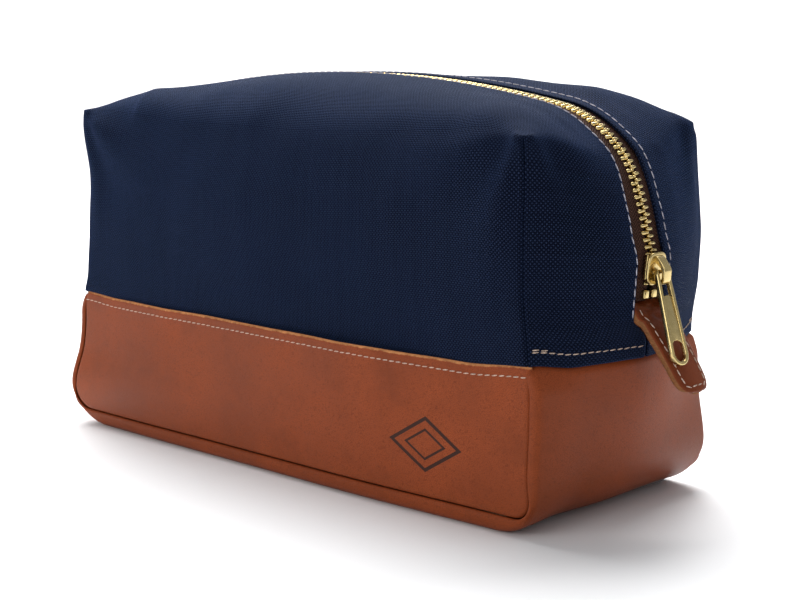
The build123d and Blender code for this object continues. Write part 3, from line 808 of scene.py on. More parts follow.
def gusset_place(along, across, inset=0.0, top=64.0, foot=13.0, half_width=51.0):
    """Leather strip up the left end, along the base and up the right end, along and across -1 to 1."""
    side = abs(along)
    sign = 1.0 if along >= 0 else -1.0
    base = 1 - smooth(side, 0.55, 0.75)
    turn, wall, dive = 2.6 + 1.2 * base, 1.6 * base, 1.3
    foot += 11.0 * (1 - abs(across) ** 5)  # rounded edge, upright part, then in to the seam
    flat = 0.74
    if inset or abs(across) <= flat:
        y, depth = half_width * across, 0.0
        if not inset:
            y = (half_width - turn) * across / flat
    else:
        run = (abs(across) - flat) / (1 - flat) * (turn * math.pi / 2 + wall + dive * 1.5)
        if run < turn * math.pi / 2:
            y, depth = half_width - turn + turn * math.sin(run / turn), turn * (1 - math.cos(run / turn))
        elif run < turn * math.pi / 2 + wall:
            y, depth = half_width, turn + run - turn * math.pi / 2
        else:
            angle = (run - turn * math.pi / 2 - wall) / dive
            y, depth = half_width - dive * (1 - math.cos(angle)), turn + wall + dive * math.sin(angle)
        y = math.copysign(y, across)
    reach = end_reach(y, 0.5 + 0.5 * smooth(side, 0.66, 0.9)) - inset
    radius = foot - inset
    if side < 0.55:
        x, z = (reach - radius) * side / 0.55, inset
        out = Vector((0, 0, -1))
    elif side < 0.75:
        angle = (side - 0.55) / 0.2 * math.pi / 2
        x = reach - radius + radius * math.sin(angle)
        z = inset + radius - radius * math.cos(angle)
        out = Vector((math.sin(angle), 0, -math.cos(angle)))
    else:
        z = foot + (top - foot) * (side - 0.75) / 0.25
        x = reach - 1.9 * smooth(z, 55.6, 58.5) - 2.5 * smooth(abs(y), 26, 48) * smooth(z, 48, 57)
        y *= 1 - 0.075 * smooth(z, 55.2, 57.6)
        out = Vector((1, 0, 0))
    x -= out.x * depth
    z -= out.z * depth
    point = Vector((sign * x, y, z))
    if inset:
        return point
    lift = 0.25 * (1 + noise.noise(Vector((x / 40, y / 20, 1.7)))) if side < 0.5 and depth == 0 else 0.0
    return flare(point) + Vector((0, 0, lift))


def corner_seams(bm):
    """The vertices of the two upright seams of a canvas half."""
    found = []
    for vert in bm.verts:
        x, y, z = vert.co / MM
        if z < PINCH[2] + 0.1 and y < -PINCH[1] + 0.2 and abs(abs(x) - seam_x(z)) < 0.25:
            found.append(vert)
    return found


def draw_in(bm, seams):
    """Turns the upright seams in to a narrow fold, deepest just below the pinched tips."""
    places = [vert.co.copy() for vert in seams]
    known = set(seams)
    edges = [edge for edge in bm.edges if known.issuperset(edge.verts)]
    cut = bmesh.ops.bevel(
        bm, geom=edges, offset=0.55 * MM, segments=2, profile=0.5, affect="EDGES", clamp_overlap=True, material=-1,
    )
    for vert in {vert for face in cut["faces"] for vert in face.verts}:
        if min((vert.co - place).length for place in places) < 0.36 * MM:
            below = PINCH[2] - vert.co.z / MM
            depth = smooth(below, 0.3, 2.6) * (1.9 + 1.2 * (1 - smooth(below, 3, 18)))
            vert.co += Vector((-math.copysign(0.62, vert.co.x), 0.78, 0)) * depth * MM


def ease_folds(bm, seams):
    """Rolls the cloth softly over the top fold and round the corners, and leaves the seams and pinched tips sharp."""
    sharp = set(seams)
    for rounds, width in ((70, 21.0), (12, 28.0)):
        soft = []
        for vert in bm.verts:
            x, y, z = vert.co / MM
            if vert.is_boundary or z < 70 or vert in sharp:
                continue
            to_fold = abs((vert.co / MM - fold_point(x / PINCH[0])).length)
            to_tip = (Vector((abs(x), -y, z)) - Vector(PINCH)).length
            corner = to_tip < 34 and abs(y) > 18 and z > PINCH[2] - 6
            if (to_fold < width or corner) and to_tip > 5:
                soft.append(vert)
        for _ in range(rounds):
            bmesh.ops.smooth_vert(bm, verts=soft, factor=0.5, use_axis_x=True, use_axis_y=True, use_axis_z=True)


# ---- operators ----
class KITBAG_OT_canvas(bpy.types.Operator):
    """Canvas panels, front and back: wall, half the top and half of each end in one cloth"""

    bl_idname = "kitbag.canvas"
    bl_label = "Canvas"

    def execute(self, context):
        fabric = shared("canvas", canvas_material)
        for side, sign in (("front", 1), ("back", -1)):
            wall = sheet_mesh(
                FOLD_SQUARES, SEAM_SQUARES + TUCK_SQUARES,
                lambda a, b: canvas_wall(a * 2 - 1, b),
                lambda a, b: ((a * 2 - 1) * 124, wall_foot() + b * 88),
            )
            strip = sheet_mesh(
                FOLD_SQUARES + 2 * SEAM_SQUARES, 24,
                lambda a, b: canvas_strip(strip_run(a), b),
                lambda a, b: (strip_run(a), b * 41),
            )
            face_out(wall, (0, 0, 0.08))
            face_out(strip, (0, 0, 0.08))
            bm = join([wall, strip])
            bmesh.ops.remove_doubles(bm, verts=bm.verts, dist=0.00035)
            seams = corner_seams(bm)
            ease_folds(bm, seams)
            draw_in(bm, seams)
            if sign < 0:
                mirror_y(bm)
                tip = Vector((PINCH[0], PINCH[1], PINCH[2])) * MM
                blunt = [vert for vert in bm.verts if (vert.co - tip).length < 7 * MM]
                for _ in range(9):
                    bmesh.ops.smooth_vert(bm, verts=blunt, factor=0.5, use_axis_x=True, use_axis_y=True, use_axis_z=True)
            for vert in bm.verts:
                vert.co = creases(vert.co / MM) * MM
            obj = make_object(bm, f"canvas_{side}", fabric)
            thicken(obj, sizes().canvas_thickness, even=False)
            soften(obj)
            bend_with_lip(obj)
            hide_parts(f"{side}_canvas_panel")
        return {"FINISHED"}


class KITBAG_OT_leather_panels(bpy.types.Operator):
    """Leather lower walls, front and back, with their raw top edges"""

    bl_idname = "kitbag.leather_panels"
    bl_label = "Leather panels"

    def execute(self, context):
        edge = shared("raw_edge", raw_edge_material)
        for side, sign in (("front", 1), ("back", -1)):
            face = leather_material(f"leather_{side}", mark=sign > 0, raw_top=True)
            bm = sheet_mesh(
                200, 48,
                lambda a, b: leather_panel(a * 2 - 1, b),
                lambda a, b: ((a * 2 - 1) * 126, (0.5 * b + 0.5 * b * b) * 50),
            )
            face_out(bm, (0, 0, 0.03))
            if sign < 0:
                for vert in bm.verts:
                    vert.co.x = -vert.co.x
                bmesh.ops.reverse_faces(bm, faces=bm.faces)
                mirror_y(bm)
            obj = make_object(bm, f"leather_panel_{side}", face, edge)
            thicken(obj, sizes().leather_thickness, rim=1)
            soften(obj)
            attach(obj, "bag")
            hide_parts(f"{side}_leather_panel")
        return {"FINISHED"}


class KITBAG_OT_gusset(bpy.types.Operator):
    """Leather strip round the ends and base, rolled in at its seams"""

    bl_idname = "kitbag.gusset"
    bl_label = "Leather gusset"

    def execute(self, context):
        bm = sheet_mesh(
            240, 72,
            lambda a, b: gusset_place(a * 2 - 1, b * 2 - 1),
            lambda a, b: ((a * 2 - 1) * 190, b * 102),
        )
        face_out(bm, (0, 0, 0.05))
        obj = make_object(bm, "leather_gusset", leather_material("leather_gusset"))
        thicken(obj, sizes().leather_thickness * 0.8)
        soften(obj)
        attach(obj, "bag")
        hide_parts("gusset_leather")
        return {"FINISHED"}


TAPE_LOW = 77.0


def tape_place(run, across, inset=1.75):
    """Zip tape beside the zip line: across in millimetres from the line."""
    point, out = zip_line(run)
    place = Vector((point.x, -across, point.z)) - out * inset
    return place


class KITBAG_OT_zip_tapes(bpy.types.Operator):
    """Woven tapes of the zip, each with a corded edge under the teeth"""

    bl_idname = "kitbag.zip_tapes"
    bl_label = "Zip tapes"

    def execute(self, context):
        reach = zip_run_at(TAPE_LOW)
        cloth = shared("tape", tape_material)
        for side, sign, end in (("front", 1, "right"), ("back", -1, "left")):
            bm = sheet_mesh(
                220, 10,
                lambda a, b: tape_place(
                    (a * 2 - 1) * reach, 1.4 + b * 11.0,
                    1.45 - 0.3 * math.exp(-((b * 11 / 1.2) ** 2)) + 1.4 * smooth(b * 11, 6, 11),
                ),
                lambda a, b: ((a * 2 - 1) * reach, b * 11.0),
            )
            face_out(bm, (0, 0, 0.08))
            if sign < 0:
                mirror_y(bm)
            for vert in bm.verts:
                vert.co += settle(vert.co / MM) * MM
            obj = make_object(bm, f"zip_tape_{side}_woven", cloth)
            thicken(obj, 0.0007)
            bend_with_lip(obj)
            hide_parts(f"zip_tape_{side}", f"zip_tape_end_{end}")
        return {"FINISHED"}


def metal_block(bm, size, bevel, matrix, segments=1):
    """A bevelled block, in millimetres, placed by a matrix."""
    made = bmesh.ops.create_cube(bm, size=1.0, matrix=Matrix.Diagonal((*[value * MM for value in size], 1)))
    edges = list({edge for vert in made["verts"] for edge in vert.link_edges})
    cut = bmesh.ops.bevel(
        bm, geom=edges, offset=bevel * MM, segments=segments, profile=0.5, affect="EDGES",
        clamp_overlap=True, material=-1,
    )
    verts = {vert for face in cut["faces"] for vert in face.verts}
    bmesh.ops.transform(bm, matrix=matrix, verts=list(verts))


def zip_matrix(run, inset=1.75):
    """Frame on the zip line: X across towards the back, Y along the line, Z outwards."""
    point, out = zip_line(run)
    place = point - out * inset
    across = Vector((0, 1, 0))
    along = out.cross(across)
    matrix = Matrix((across, along, out)).transposed().to_4x4()
    matrix.translation = (place + settle(place)) * MM
    return matrix


class KITBAG_OT_zip_teeth(bpy.types.Operator):
    """Two rows of brass teeth that mesh on the zip line"""

    bl_idname = "kitbag.zip_teeth"
    bl_label = "Zip teeth"

    def execute(self, context):
        reach = zip_run_at(TAPE_LOW + 5.0)
        pitch = sizes().tooth_pitch / MM
        brass = shared("brass", brass_material)
        for side, sign, end in (("front", -1, "right"), ("back", 1, "left")):
            bm = bmesh.new()
            count = int(reach / pitch)
            for n in range(-count, count + 1):
                run = pitch * (n + (0.25 if sign < 0 else 0.75))
                if abs(run) > reach:
                    continue
                # below the slider the rows are parted
                low = smooth(run, zip_run_at(96.0), zip_run_at(88.0))
                gap = 0.55 * low
                matrix = zip_matrix(run)
                body = matrix @ Matrix.Translation((sign * (1.55 + gap) * MM, 0, 0))
                metal_block(bm, (2.9, 1.3, 2.5), 0.38, body)
                head = matrix @ Matrix.Translation((sign * (0.35 + gap) * MM, 0, 0.15 * MM))
                metal_block(bm, (1.7, 0.86, 2.7), 0.34, head)
            obj = make_object(bm, f"zip_teeth_{side}_brass", brass)
            bend_with_lip(obj)
            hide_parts(f"zip_teeth_{side}", f"zip_teeth_end_{end}")
        return {"FINISHED"}


class KITBAG_OT_stops(bpy.types.Operator):
    """Brass stops at both ends of the zip"""

    bl_idname = "kitbag.stops"
    bl_label = "Zip stops"

    def execute(self, context):
        brass = shared("brass", brass_material)
        run = zip_run_at(TAPE_LOW + 2.1)
        right = bmesh.new()
        for sign in (-1, 1):
            matrix = zip_matrix(run) @ Matrix.Translation((sign * 2.3 * MM, 0, 0))
            metal_block(right, (2.8, 3.0, 3.0), 0.5, matrix, 3)
        left = bmesh.new()
        metal_block(left, (7.4, 3.0, 3.1), 0.6, zip_matrix(-run), 3)
        for bm, name, cad in ((right, "zip_stops_brass", "zip_stops_right"), (left, "zip_box_stop_brass", "zip_stop_left")):
            obj = make_object(bm, name, brass)
            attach(obj, "bag")
            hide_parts(cad)
        return {"FINISHED"}


def plate_mesh(corners, low, high, rounds=(), bevel=0.25, segments=2, rim=None):
    """A flat plate in millimetres from a few corners: rounds are (corner numbers, radius), rim leaves only a ring."""
    bm = bmesh.new()
    verts = [bm.verts.new((x * MM, y * MM, low * MM)) for x, y in corners]
    bm.faces.new(verts)
    for numbers, radius in rounds:
        bmesh.ops.bevel(
            bm, geom=[verts[n] for n in numbers], offset=radius * MM, segments=8, profile=0.5,
            affect="VERTICES", clamp_overlap=True, material=-1,
        )
    if rim:
        whole = list(bm.faces)
        bmesh.ops.inset_region(bm, faces=whole, thickness=rim * MM, use_even_offset=True, use_boundary=True)
        bmesh.ops.delete(bm, geom=whole, context="FACES")
    moved = bmesh.ops.extrude_face_region(bm, geom=list(bm.faces))
    top = [v for v in moved["geom"] if isinstance(v, bmesh.types.BMVert)]
    bmesh.ops.translate(bm, vec=(0, 0, (high - low) * MM), verts=top)
    bmesh.ops.recalc_face_normals(bm, faces=bm.faces)
    if bevel:
        sharp = [e for e in bm.edges if e.is_manifold and e.calc_face_angle(0) > math.radians(40)]
        bmesh.ops.bevel(
            bm, geom=sharp, offset=bevel * MM, segments=segments, profile=0.5, affect="EDGES",
            clamp_overlap=True, material=-1,
        )
    return bm


def slider_matrix():
    """Frame of the slider: X across, Y up along the zip, Z out of the bag."""
    rest = math.asin((TAPE_LOW + 11.2 - 92.316) / 50.35)
    across = Vector((0, 1, 0))
    up = Vector((-math.sin(rest), 0, math.cos(rest)))
    out = Vector((math.cos(rest), 0, math.sin(rest)))
    matrix = Matrix((across, up, out)).transposed().to_4x4()
    matrix.translation = Vector((89 + 50.35 * math.cos(rest), 0, 92.316 + 50.35 * math.sin(rest))) * MM
    return matrix


class KITBAG_OT_slider(bpy.types.Operator):
    """Cast brass slider: two plates, side flanges, a post between the rows and an arched bridge"""

    bl_idname = "kitbag.slider"
    bl_label = "Zip slider"

    def execute(self, context):
        shield = [(-5.2, -3.2), (-3.4, -5.5), (3.4, -5.5), (5.2, -3.2), (5.2, 0.4), (4.4, 5.6), (-4.4, 5.6), (-5.2, 0.4)]
        rounds = (((0, 1, 2, 3), 1.2), ((5, 6), 2.2), ((4, 7), 1.5))
        parts = [
            plate_mesh(shield, 2.0, 3.1, rounds, 0.4, 3),
            plate_mesh(shield, -3.1, -2.0, rounds, 0.4, 3),
            plate_mesh([(-0.4, -5.4), (0.4, -5.4), (0.4, -2.5), (-0.4, -2.5)], -2.1, 2.1, (), 0.1, 1),
        ]
        for sign in (-1, 1):
            for low, high in ((1.05, 2.2), (-2.2, -1.05)):
                edge = [(4.45, -3.4), (5.15, -3.4), (5.15, 0.3), (4.7, 5.0), (4.0, 5.0), (4.45, 0.3)]
                parts.append(plate_mesh([(sign * x, y) for x, y in edge], low, high, (), 0.2, 2))
        arch = [
            (-5.1, 2.9), (-5.1, 6.2), (-3.6, 7.7), (0.8, 7.7), (4.6, 4.2), (4.6, 2.9), (2.6, 2.9), (0.4, 6.2),
            (-3.0, 6.4), (-3.8, 5.6), (-3.8, 2.9),
        ]
        bridge = plate_mesh(arch, -1.9, 1.9, (((1, 2, 3), 1.3), ((4, 7, 8), 0.9)), 0.75, 4)
        turn = Matrix(((0, 0, 1, 0), (1, 0, 0, 0), (0, 1, 0, 0), (0, 0, 0, 1)))
        bmesh.ops.transform(bridge, matrix=turn, verts=bridge.verts)
        parts.append(bridge)
        bm = join(parts)
        bmesh.ops.transform(bm, matrix=slider_matrix(), verts=bm.verts)
        obj = make_object(bm, "zip_slider_brass", shared("brass", brass_material))
        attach(obj, "slider")
        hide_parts("zip_slider")
        return {"FINISHED"}


def pull_matrix():
    """Frame of the pull as it hangs: X down along it, Z out of the bag, origin on its pivot."""
    lean, skew = math.radians(20.5), math.radians(6.0)
    down = Vector((math.sin(lean) * math.cos(skew), -math.sin(skew), -math.cos(lean) * math.cos(skew)))
    out = Vector((math.cos(lean), 0, math.sin(lean)))
    matrix = Matrix((down, out.cross(down), out)).transposed().to_4x4()
    matrix.translation = Vector((144.142, 0, 86.288)) * MM
    return matrix


class KITBAG_OT_pull(bpy.types.Operator):
    """Brass pull: a raised rim round an eye, a sunk plate and an oval hole"""

    bl_idname = "kitbag.pull"
    bl_label = "Zip pull"

    def execute(self, context):
        outline = [(-1.5, -3.5), (31.5, -4.6), (31.5, 4.6), (-1.5, 3.5)]
        rim = plate_mesh(outline, -0.95, 0.95, (((1, 2), 4.4), ((0, 3), 2.0)), 0.42, 3, rim=1.35)
        plate = plate_mesh(
            [(8.3, -3.0), (22.6, -3.6), (25.2, -3.6), (23.9, -2.7), (23.1, -1.5), (22.8, 0), (23.1, 1.5), (23.9, 2.7),
             (25.2, 3.6), (22.6, 3.6), (8.3, 3.0), (7.6, 1.6), (7.3, 0), (7.6, -1.6)],
            -0.5, 0.5, (), 0.15, 2,
        )
        bm = join([rim, plate])
        bmesh.ops.transform(bm, matrix=pull_matrix(), verts=bm.verts)
        obj = make_object(bm, "zip_pull_brass", shared("brass", brass_material))
        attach(obj, "pull")
        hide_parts("zip_pull")
        return {"FINISHED"}


def tab_place(along, across, lift=1.5, half=8.6):
    """Grip tab at the right end: along 0 at its root to 1 at its tip, across -1 to 1."""
    points = [Vector(p) for p in ((135.2, 0, 75.6), (144.5, 0, 71.5), (150.5, 0.5, 60.0), (159.0, 1.2, 47.4))]
    t = along
    weights = ((1 - t) ** 3, 3 * t * (1 - t) ** 2, 3 * t * t * (1 - t), t**3)
    place = sum((p * w for p, w in zip(points, weights)), Vector())
    run = (
        (points[1] - points[0]) * (1 - t) ** 2 + (points[2] - points[1]) * 2 * t * (1 - t)
        + (points[3] - points[2]) * t * t
    ).normalized()
    out = Vector((-run.z, 0, run.x))
    left = (1 - t) * 34.5
    if left < 5.5:
        half -= 5.5 - math.sqrt(max(5.5**2 - (5.5 - left) ** 2, 0))
    half += 0.4 * math.sin(t * 5)
    cup = -0.9 * (abs(across) ** 2.2) * (0.4 + 0.6 * t)
    place = place + out * (lift + cup) + Vector((0, across * half, 0))
    root = 1 - smooth(t, 0.16, 0.52)
    lump = noise.noise(Vector((t * 9.0, across * 1.6, 2.7))) * 1.1 + noise.noise(Vector((t * 19.0, across * 3.4, 5.1))) * 0.5
    return place + out * lump * root, out


class KITBAG_OT_tabs(bpy.types.Operator):
    """Leather grip tabs at the ends of the zip, folded double and stitched round"""

    bl_idname = "kitbag.tabs"
    bl_label = "Grip tabs"

    def execute(self, context):
        thread = shared("thread", thread_material)
        for side, sign in (("right", 1), ("left", -1)):
            bm = sheet_mesh(
                44, 22, lambda a, b: tab_place(a, b * 2 - 1)[0], lambda a, b: (a * 34, b * 17),
            )
            face_out(bm, (0.12, 0, 0.04))
            path, normals = [], []
            for a in np.linspace(0.14, 0.93, 26):
                path.append(tab_place(a, -0.72)[0])
                normals.append(tab_place(a, -0.72)[1])
            for b in np.linspace(-0.6, 0.6, 7):
                path.append(tab_place(0.945, b)[0])
                normals.append(tab_place(0.945, b)[1])
            for a in np.linspace(0.93, 0.14, 26):
                path.append(tab_place(a, 0.72)[0])
                normals.append(tab_place(a, 0.72)[1])
            stitches = stitch_row(path, normals, 3.0)
            if sign < 0:
                for mesh in (bm, stitches):
                    bmesh.ops.scale(mesh, vec=(-1, 1, 1), verts=mesh.verts)
                    bmesh.ops.reverse_faces(mesh, faces=mesh.faces)
            obj = make_object(
                bm, f"grip_tab_{side}_leather", shared("tab", leather_material, "leather_tab", 0.82, 0.34),
                shared("tab_edge", raw_edge_material, "leather_tab_edge", 0.42),
            )
            thicken(obj, 0.003, rim=1)
            soften(obj)
            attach(obj, "bag")
            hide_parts(f"grip_tab_{side}")
            sewn = make_object(stitches, f"grip_tab_{side}_stitches", thread)
            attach(sewn, "bag")
        return {"FINISHED"}


class KITBAG_OT_stitching(bpy.types.Operator):
    """Topstitching along the leather, the canvas laps and the zip"""

    bl_idname = "kitbag.stitching"
    bl_label = "Topstitching"

    def execute(self, context):
        thread = shared("thread", thread_material)
        low = sizes().leather_height / MM
        end_run = zip_run_at(low)
        for side, sign in (("front", 1), ("back", -1)):
            path = [leather_panel(a, 0.951) for a in np.linspace(-0.985, 0.985, 160)]
            if sign < 0:
                path = [Vector((-p.x, -p.y, p.z)) for p in path]
            row = stitch_row(path, [Vector((0, -sign, 0))] * len(path))
            obj = make_object(row, f"stitches_leather_{side}", thread)
            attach(obj, "bag")
            # beside the zip, close to the folded edge in front and a little back from it behind
            path, normals = [], []
            last = zip_run_at(71.5)
            for run in np.linspace(-last, last, 260):
                point = canvas_strip(run, 0.026 if sign > 0 else 0.08)
                out = zip_line(run)[1]
                path.append(point)
                normals.append(out)
            row = [Vector((p.x, p.y * sign, p.z)) for p in path]
            row = [creases(p) for p in row]
            bm = stitch_row(row, normals, 3.6)
            obj = make_object(bm, f"stitches_zip_{side}", shared("thread_pale", thread_material, "thread_pale", (0.47, 0.45, 0.52)))
            bend_with_lip(obj)
            # along the lower edge of each end flap
            laps = []
            for end in (-1, 1):
                path, normals = [], []
                for share in np.linspace(0.03, 0.975, 44):
                    run = end * (end_run - 4.4)
                    point = canvas_strip(run, share)
                    near = canvas_strip(run, share - 0.02)
                    run_way = (point - near).normalized()
                    normal = run_way.cross(Vector((0, 0, 1)))
                    if normal.x * end < 0:
                        normal = -normal
                    path.append(point)
                    normals.append(normal.normalized())
                path = [creases(Vector((p.x, p.y * sign, p.z))) for p in path]
                normals = [Vector((n.x, n.y * sign, n.z)) for n in normals]
                laps.append(stitch_row(path, normals))
                laps.append(stitch_row([p + Vector((0, 0, 0.75)) for p in path[-7:]], normals[-7:]))
            obj = make_object(join(laps), f"stitches_laps_{side}", thread)
            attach(obj, "bag")
        return {"FINISHED"}


def lining_point(point, gap=3.2):
    """A place on the canvas moved in to where the lining lies."""
    x, y, z = point
    return Vector((x * (1 - gap / 126), y * (1 - gap / 49), z - gap * smooth(z, 60, 140)))


class KITBAG_OT_lining(bpy.types.Operator):
    """Cotton lining: a half on each side up to the zip tape, and a strip round the base and ends"""

    bl_idname = "kitbag.lining"
    bl_label = "Lining"

    def execute(self, context):
        cloth = shared("lining", lining_material)
        low = sizes().leather_height / MM
        end_run = zip_run_at(low)

        def wall(a, b):
            across = a * 2 - 1
            fold = fold_point(across)
            z = 6.5 + b * (fold.z - 6.5)
            if z > 57:
                up = (z - wall_foot()) / (fold.z - wall_foot())
                return lining_point(canvas_wall(across, up))
            half = seam_x(z) - max(0, 12 - (z - 6.5)) * 0.6
            edge = lining_point(canvas_wall(across, (57 - wall_foot()) / (fold.z - wall_foot())))
            return Vector((across * half * (1 - 3.2 / 126), edge.y, z))

        for side, sign in (("front", 1), ("back", -1)):
            main = sheet_mesh(90, 44, wall, lambda a, b: ((a * 2 - 1) * 122, b * 130))
            strip = sheet_mesh(
                150, 14,
                lambda a, b: lining_point(canvas_strip((a * 2 - 1) * end_run, 0.12 + b * 0.88)),
                lambda a, b: ((a * 2 - 1) * end_run, b * 36),
            )
            for part in (main, strip):
                face_out(part, (0, 0, 0.08))
                bmesh.ops.reverse_faces(part, faces=part.faces)
            bm = join([main, strip])
            bmesh.ops.remove_doubles(bm, verts=bm.verts, dist=0.0008)
            if sign < 0:
                mirror_y(bm)
            for vert in bm.verts:
                place = vert.co / MM
                wave = noise.noise_vector(Vector((place.x / 22, place.y / 22, place.z / 26)) + Vector((6, 1, 3)))
                vert.co += (wave * 0.8 * smooth(place.z, 8, 30) + settle(place)) * MM
                seam = smooth(abs(place.x), 96, 120) * smooth(abs(place.y), 32, 45)
                vert.co.x -= math.copysign(2.6 * MM * seam, place.x)
                vert.co.y -= math.copysign(2.2 * MM * seam, place.y)
            obj = make_object(bm, f"lining_{side}_cotton", cloth)
            shell = obj.modifiers.new("Thickness", "SOLIDIFY")
            shell.thickness = 0.0006
            shell.offset = -1
            bend_with_lip(obj)
            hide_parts(f"lining_{side}", f"lining_collar_{side}")
        bm = sheet_mesh(
            160, 30,
            lambda a, b: gusset_place(a * 2 - 1, (b * 2 - 1) * 0.9, inset=5.0, top=66.0, half_width=50.0) + Vector((0, 0, 0.6)),
            lambda a, b: ((a * 2 - 1) * 180, b * 92),
        )
        face_out(bm, (0, 0, 0.05))
        bmesh.ops.reverse_faces(bm, faces=bm.faces)
        for vert in bm.verts:
            place = vert.co / MM
            vert.co.z += 0.5 * MM * (1 + noise.noise(Vector((place.x / 30, place.y / 18, 4))))
        obj = make_object(bm, "lining_base_cotton", cloth)
        shell = obj.modifiers.new("Thickness", "SOLIDIFY")
        shell.thickness = 0.0006
        shell.offset = -1
        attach(obj, "bag")
        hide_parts("lining_gusset")
        return {"FINISHED"}


class KITBAG_OT_inner_fittings(bpy.types.Operator):
    """Slip pocket, seam bindings and the board under the lining"""

    bl_idname = "kitbag.inner_fittings"
    bl_label = "Inner fittings"

    def execute(self, context):
        cloth = shared("lining", lining_material)
        dark = shared("binding", lining_material, "binding_brown", 0.12, 0.0011)

        def pocket(a, b):
            across = a * 2 - 1
            half = 90 - 8 * (1 - smooth(b, 0, 0.12))
            bulge = 3.4 * (1 - across**2) * (0.35 + 0.65 * b) + 0.5 * math.sin(across * 9) * b
            return Vector((across * half, 43.6 - bulge, 18.4 + b * 70))

        bm = sheet_mesh(60, 30, pocket, lambda a, b: (a * 180, b * 70))
        face_out(bm, (0, 0.1, 0.05))
        obj = make_object(bm, "slip_pocket_cotton", cloth)
        thicken(obj, 0.0008)
        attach(obj, "bag")
        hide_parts("slip_pocket")
        path = [pocket(a, 0.965) - Vector((0, 0.1, 0)) for a in np.linspace(0.01, 0.99, 60)]
        sewn = make_object(stitch_row(path, [Vector((0, -1, 0))] * len(path)), "stitches_pocket", shared("thread", thread_material))
        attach(sewn, "bag")
        for side, sign in (("front", -1), ("back", 1)):
            bm = sheet_mesh(
                150, 6,
                lambda a, b: gusset_place(a * 2 - 1, 0.88 - 0.16 * b, inset=7.2, top=64.0, half_width=50.0)
                + Vector((0, 0, 1.2)),
                lambda a, b: ((a * 2 - 1) * 180, b * 8),
            )
            face_out(bm, (0, 0.04, 0.05))
            bmesh.ops.reverse_faces(bm, faces=bm.faces)
            if sign < 0:
                mirror_y(bm)
            obj = make_object(bm, f"seam_binding_{side}_tape", dark)
            thicken(obj, 0.0012)
            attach(obj, "bag")
            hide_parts(f"seam_binding_{side}")
        material, tree, shader = new_material("board_grey")
        speckle = noise_field(tree, 400.0, 4.0, 0.7)
        tone = mix_colour(tree, ramp(tree, speckle, 0.3, 0.7), (0.05, 0.05, 0.05), (0.12, 0.115, 0.11))
        tree.links.new(tone, shader.inputs["Base Color"])
        shader.inputs["Roughness"].default_value = 0.6
        bump(tree, shader, speckle, 0.0001, 0.5)
        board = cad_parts["base_board"]
        board.data.materials.clear()
        board.data.materials.append(material)
        return {"FINISHED"}


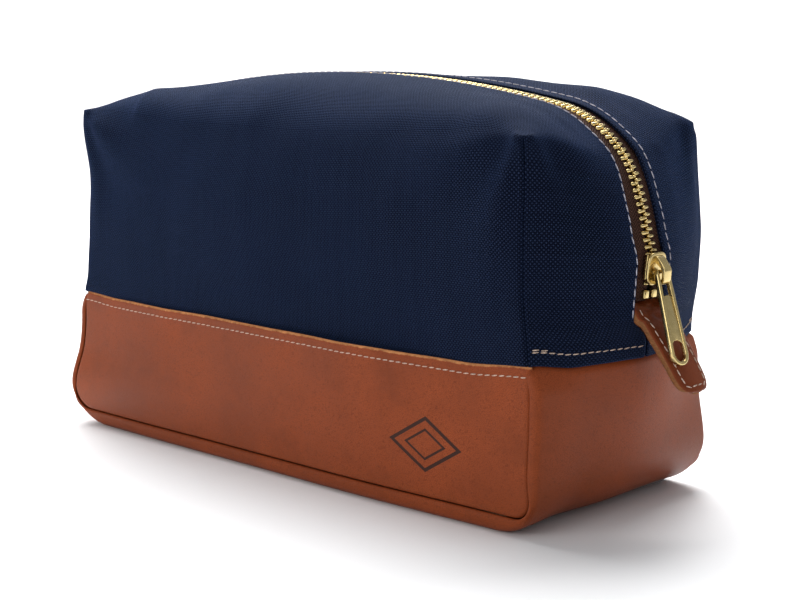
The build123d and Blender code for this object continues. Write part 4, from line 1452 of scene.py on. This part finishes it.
class KITBAG_OT_stage(bpy.types.Operator):
    """Pale floor and backdrop, soft lights and the camera"""

    bl_idname = "kitbag.stage"
    bl_label = "Stage"

    def execute(self, context):
        scene = context.scene
        material, tree, shader = new_material("stage_pale")
        cloud = noise_field(tree, 3.0, 2.0, 0.5)
        tone = mix_colour(tree, cloud, (0.86, 0.86, 0.87), (0.90, 0.90, 0.90))
        tree.links.new(tone, shader.inputs["Base Color"])
        shader.inputs["Roughness"].default_value = 0.7

        def sweep(a, b):
            across = (a * 2 - 1) * 3500
            run = b * 6000 - 1500
            if run < 1800:
                place = Vector((0, run, 0))
            else:
                turn = min((run - 1800) / 900, math.pi / 2)
                up = max(run - 1800 - 900 * math.pi / 2, 0)
                place = Vector((0, 1800 + 900 * math.sin(turn), 900 - 900 * math.cos(turn) + up))
            back = Vector((-math.sin(math.radians(44.56)), math.cos(math.radians(44.56)), 0))
            side = Vector((math.cos(math.radians(44.56)), math.sin(math.radians(44.56)), 0))
            return side * across + back * place.y + Vector((0, 0, place.z))

        bm = sheet_mesh(4, 60, sweep, lambda a, b: (a * 1000, b * 1000))
        face_out(bm, (0, 0, 1.0))
        bmesh.ops.reverse_faces(bm, faces=bm.faces)
        floor = make_object(bm, "stage_floor", material)
        world = bpy.data.worlds.new("studio")
        scene.world = world
        world.use_nodes = True
        world.node_tree.nodes["Background"].inputs["Color"].default_value = (0.94, 0.97, 1.0, 1)
        world.node_tree.nodes["Background"].inputs["Strength"].default_value = 0.42
        lights = (
            ("key_top", (-0.5, 0.4, 1.0), (0, 0, 0.05), 1.2, 1.0, 36.0),
            ("fill_front", (0.0, -1.5, 0.6), (0, 0, 0.06), 1.0, 0.8, 7.5),
            ("backdrop_wash", (-0.9, 1.0, 0.9), (-1.7, 1.9, 0.25), 1.4, 0.6, 26.0),
        )
        for name, place, aim, width, height, power in lights:
            light = bpy.data.lights.new(name, "AREA")
            light.shape = "RECTANGLE"
            light.size, light.size_y, light.energy = width, height, power
            lamp = bpy.data.objects.new(name, light)
            lamp.location = place
            lamp.rotation_euler = (Vector(aim) - Vector(place)).to_track_quat("-Z", "Y").to_euler()
            scene.collection.objects.link(lamp)
        camera = bpy.data.cameras.new("camera")
        camera.lens, camera.sensor_width = 71.75, 36.0
        camera.clip_start, camera.clip_end = 0.05, 20.0
        view = bpy.data.objects.new("camera", camera)
        azimuth, height = math.radians(44.56), math.radians(8.85)
        back = Vector(
            (math.sin(azimuth) * math.cos(height), -math.cos(azimuth) * math.cos(height), math.sin(height))
        )
        view.location = (0.45388, -0.43996, 0.1602)
        view.rotation_euler = (-back).to_track_quat("-Z", "Y").to_euler()
        scene.collection.objects.link(view)
        scene.camera = view
        scene.view_settings.view_transform = "Standard"
        return {"FINISHED"}


class KITBAG_PT_panel(bpy.types.Panel):
    bl_idname = "KITBAG_PT_panel"
    bl_label = "Kit bag"
    bl_space_type = "VIEW_3D"
    bl_region_type = "UI"
    bl_category = "Kit bag"

    def draw(self, context):
        layout = self.layout
        for title, group in (("Sizes", sizes()), ("Colours", colours())):
            box = layout.box()
            box.label(text=title)
            for name in type(group).__annotations__:
                box.prop(group, name)
        for operator in PIECES:
            layout.operator(operator.bl_idname)


PIECES = (
    KITBAG_OT_canvas, KITBAG_OT_leather_panels, KITBAG_OT_gusset, KITBAG_OT_zip_tapes, KITBAG_OT_zip_teeth,
    KITBAG_OT_stops, KITBAG_OT_slider, KITBAG_OT_pull, KITBAG_OT_tabs, KITBAG_OT_stitching, KITBAG_OT_lining,
    KITBAG_OT_inner_fittings, KITBAG_OT_stage,
)
CLASSES = (KitBagSizes, KitBagColours, *PIECES, KITBAG_PT_panel)


def register():
    for cls in CLASSES:
        bpy.utils.register_class(cls)
    bpy.types.Scene.kit_bag_sizes = PointerProperty(type=KitBagSizes)
    bpy.types.Scene.kit_bag_colours = PointerProperty(type=KitBagColours)


def unregister():
    del bpy.types.Scene.kit_bag_sizes
    del bpy.types.Scene.kit_bag_colours
    for cls in reversed(CLASSES):
        bpy.utils.unregister_class(cls)


def build_kit_bag():
    """Registers the add-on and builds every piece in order."""
    register()
    for operator in PIECES:
        group, name = operator.bl_idname.split(".")
        getattr(getattr(bpy.ops, group), name)()


if __name__ == "__main__":
    build_kit_bag()
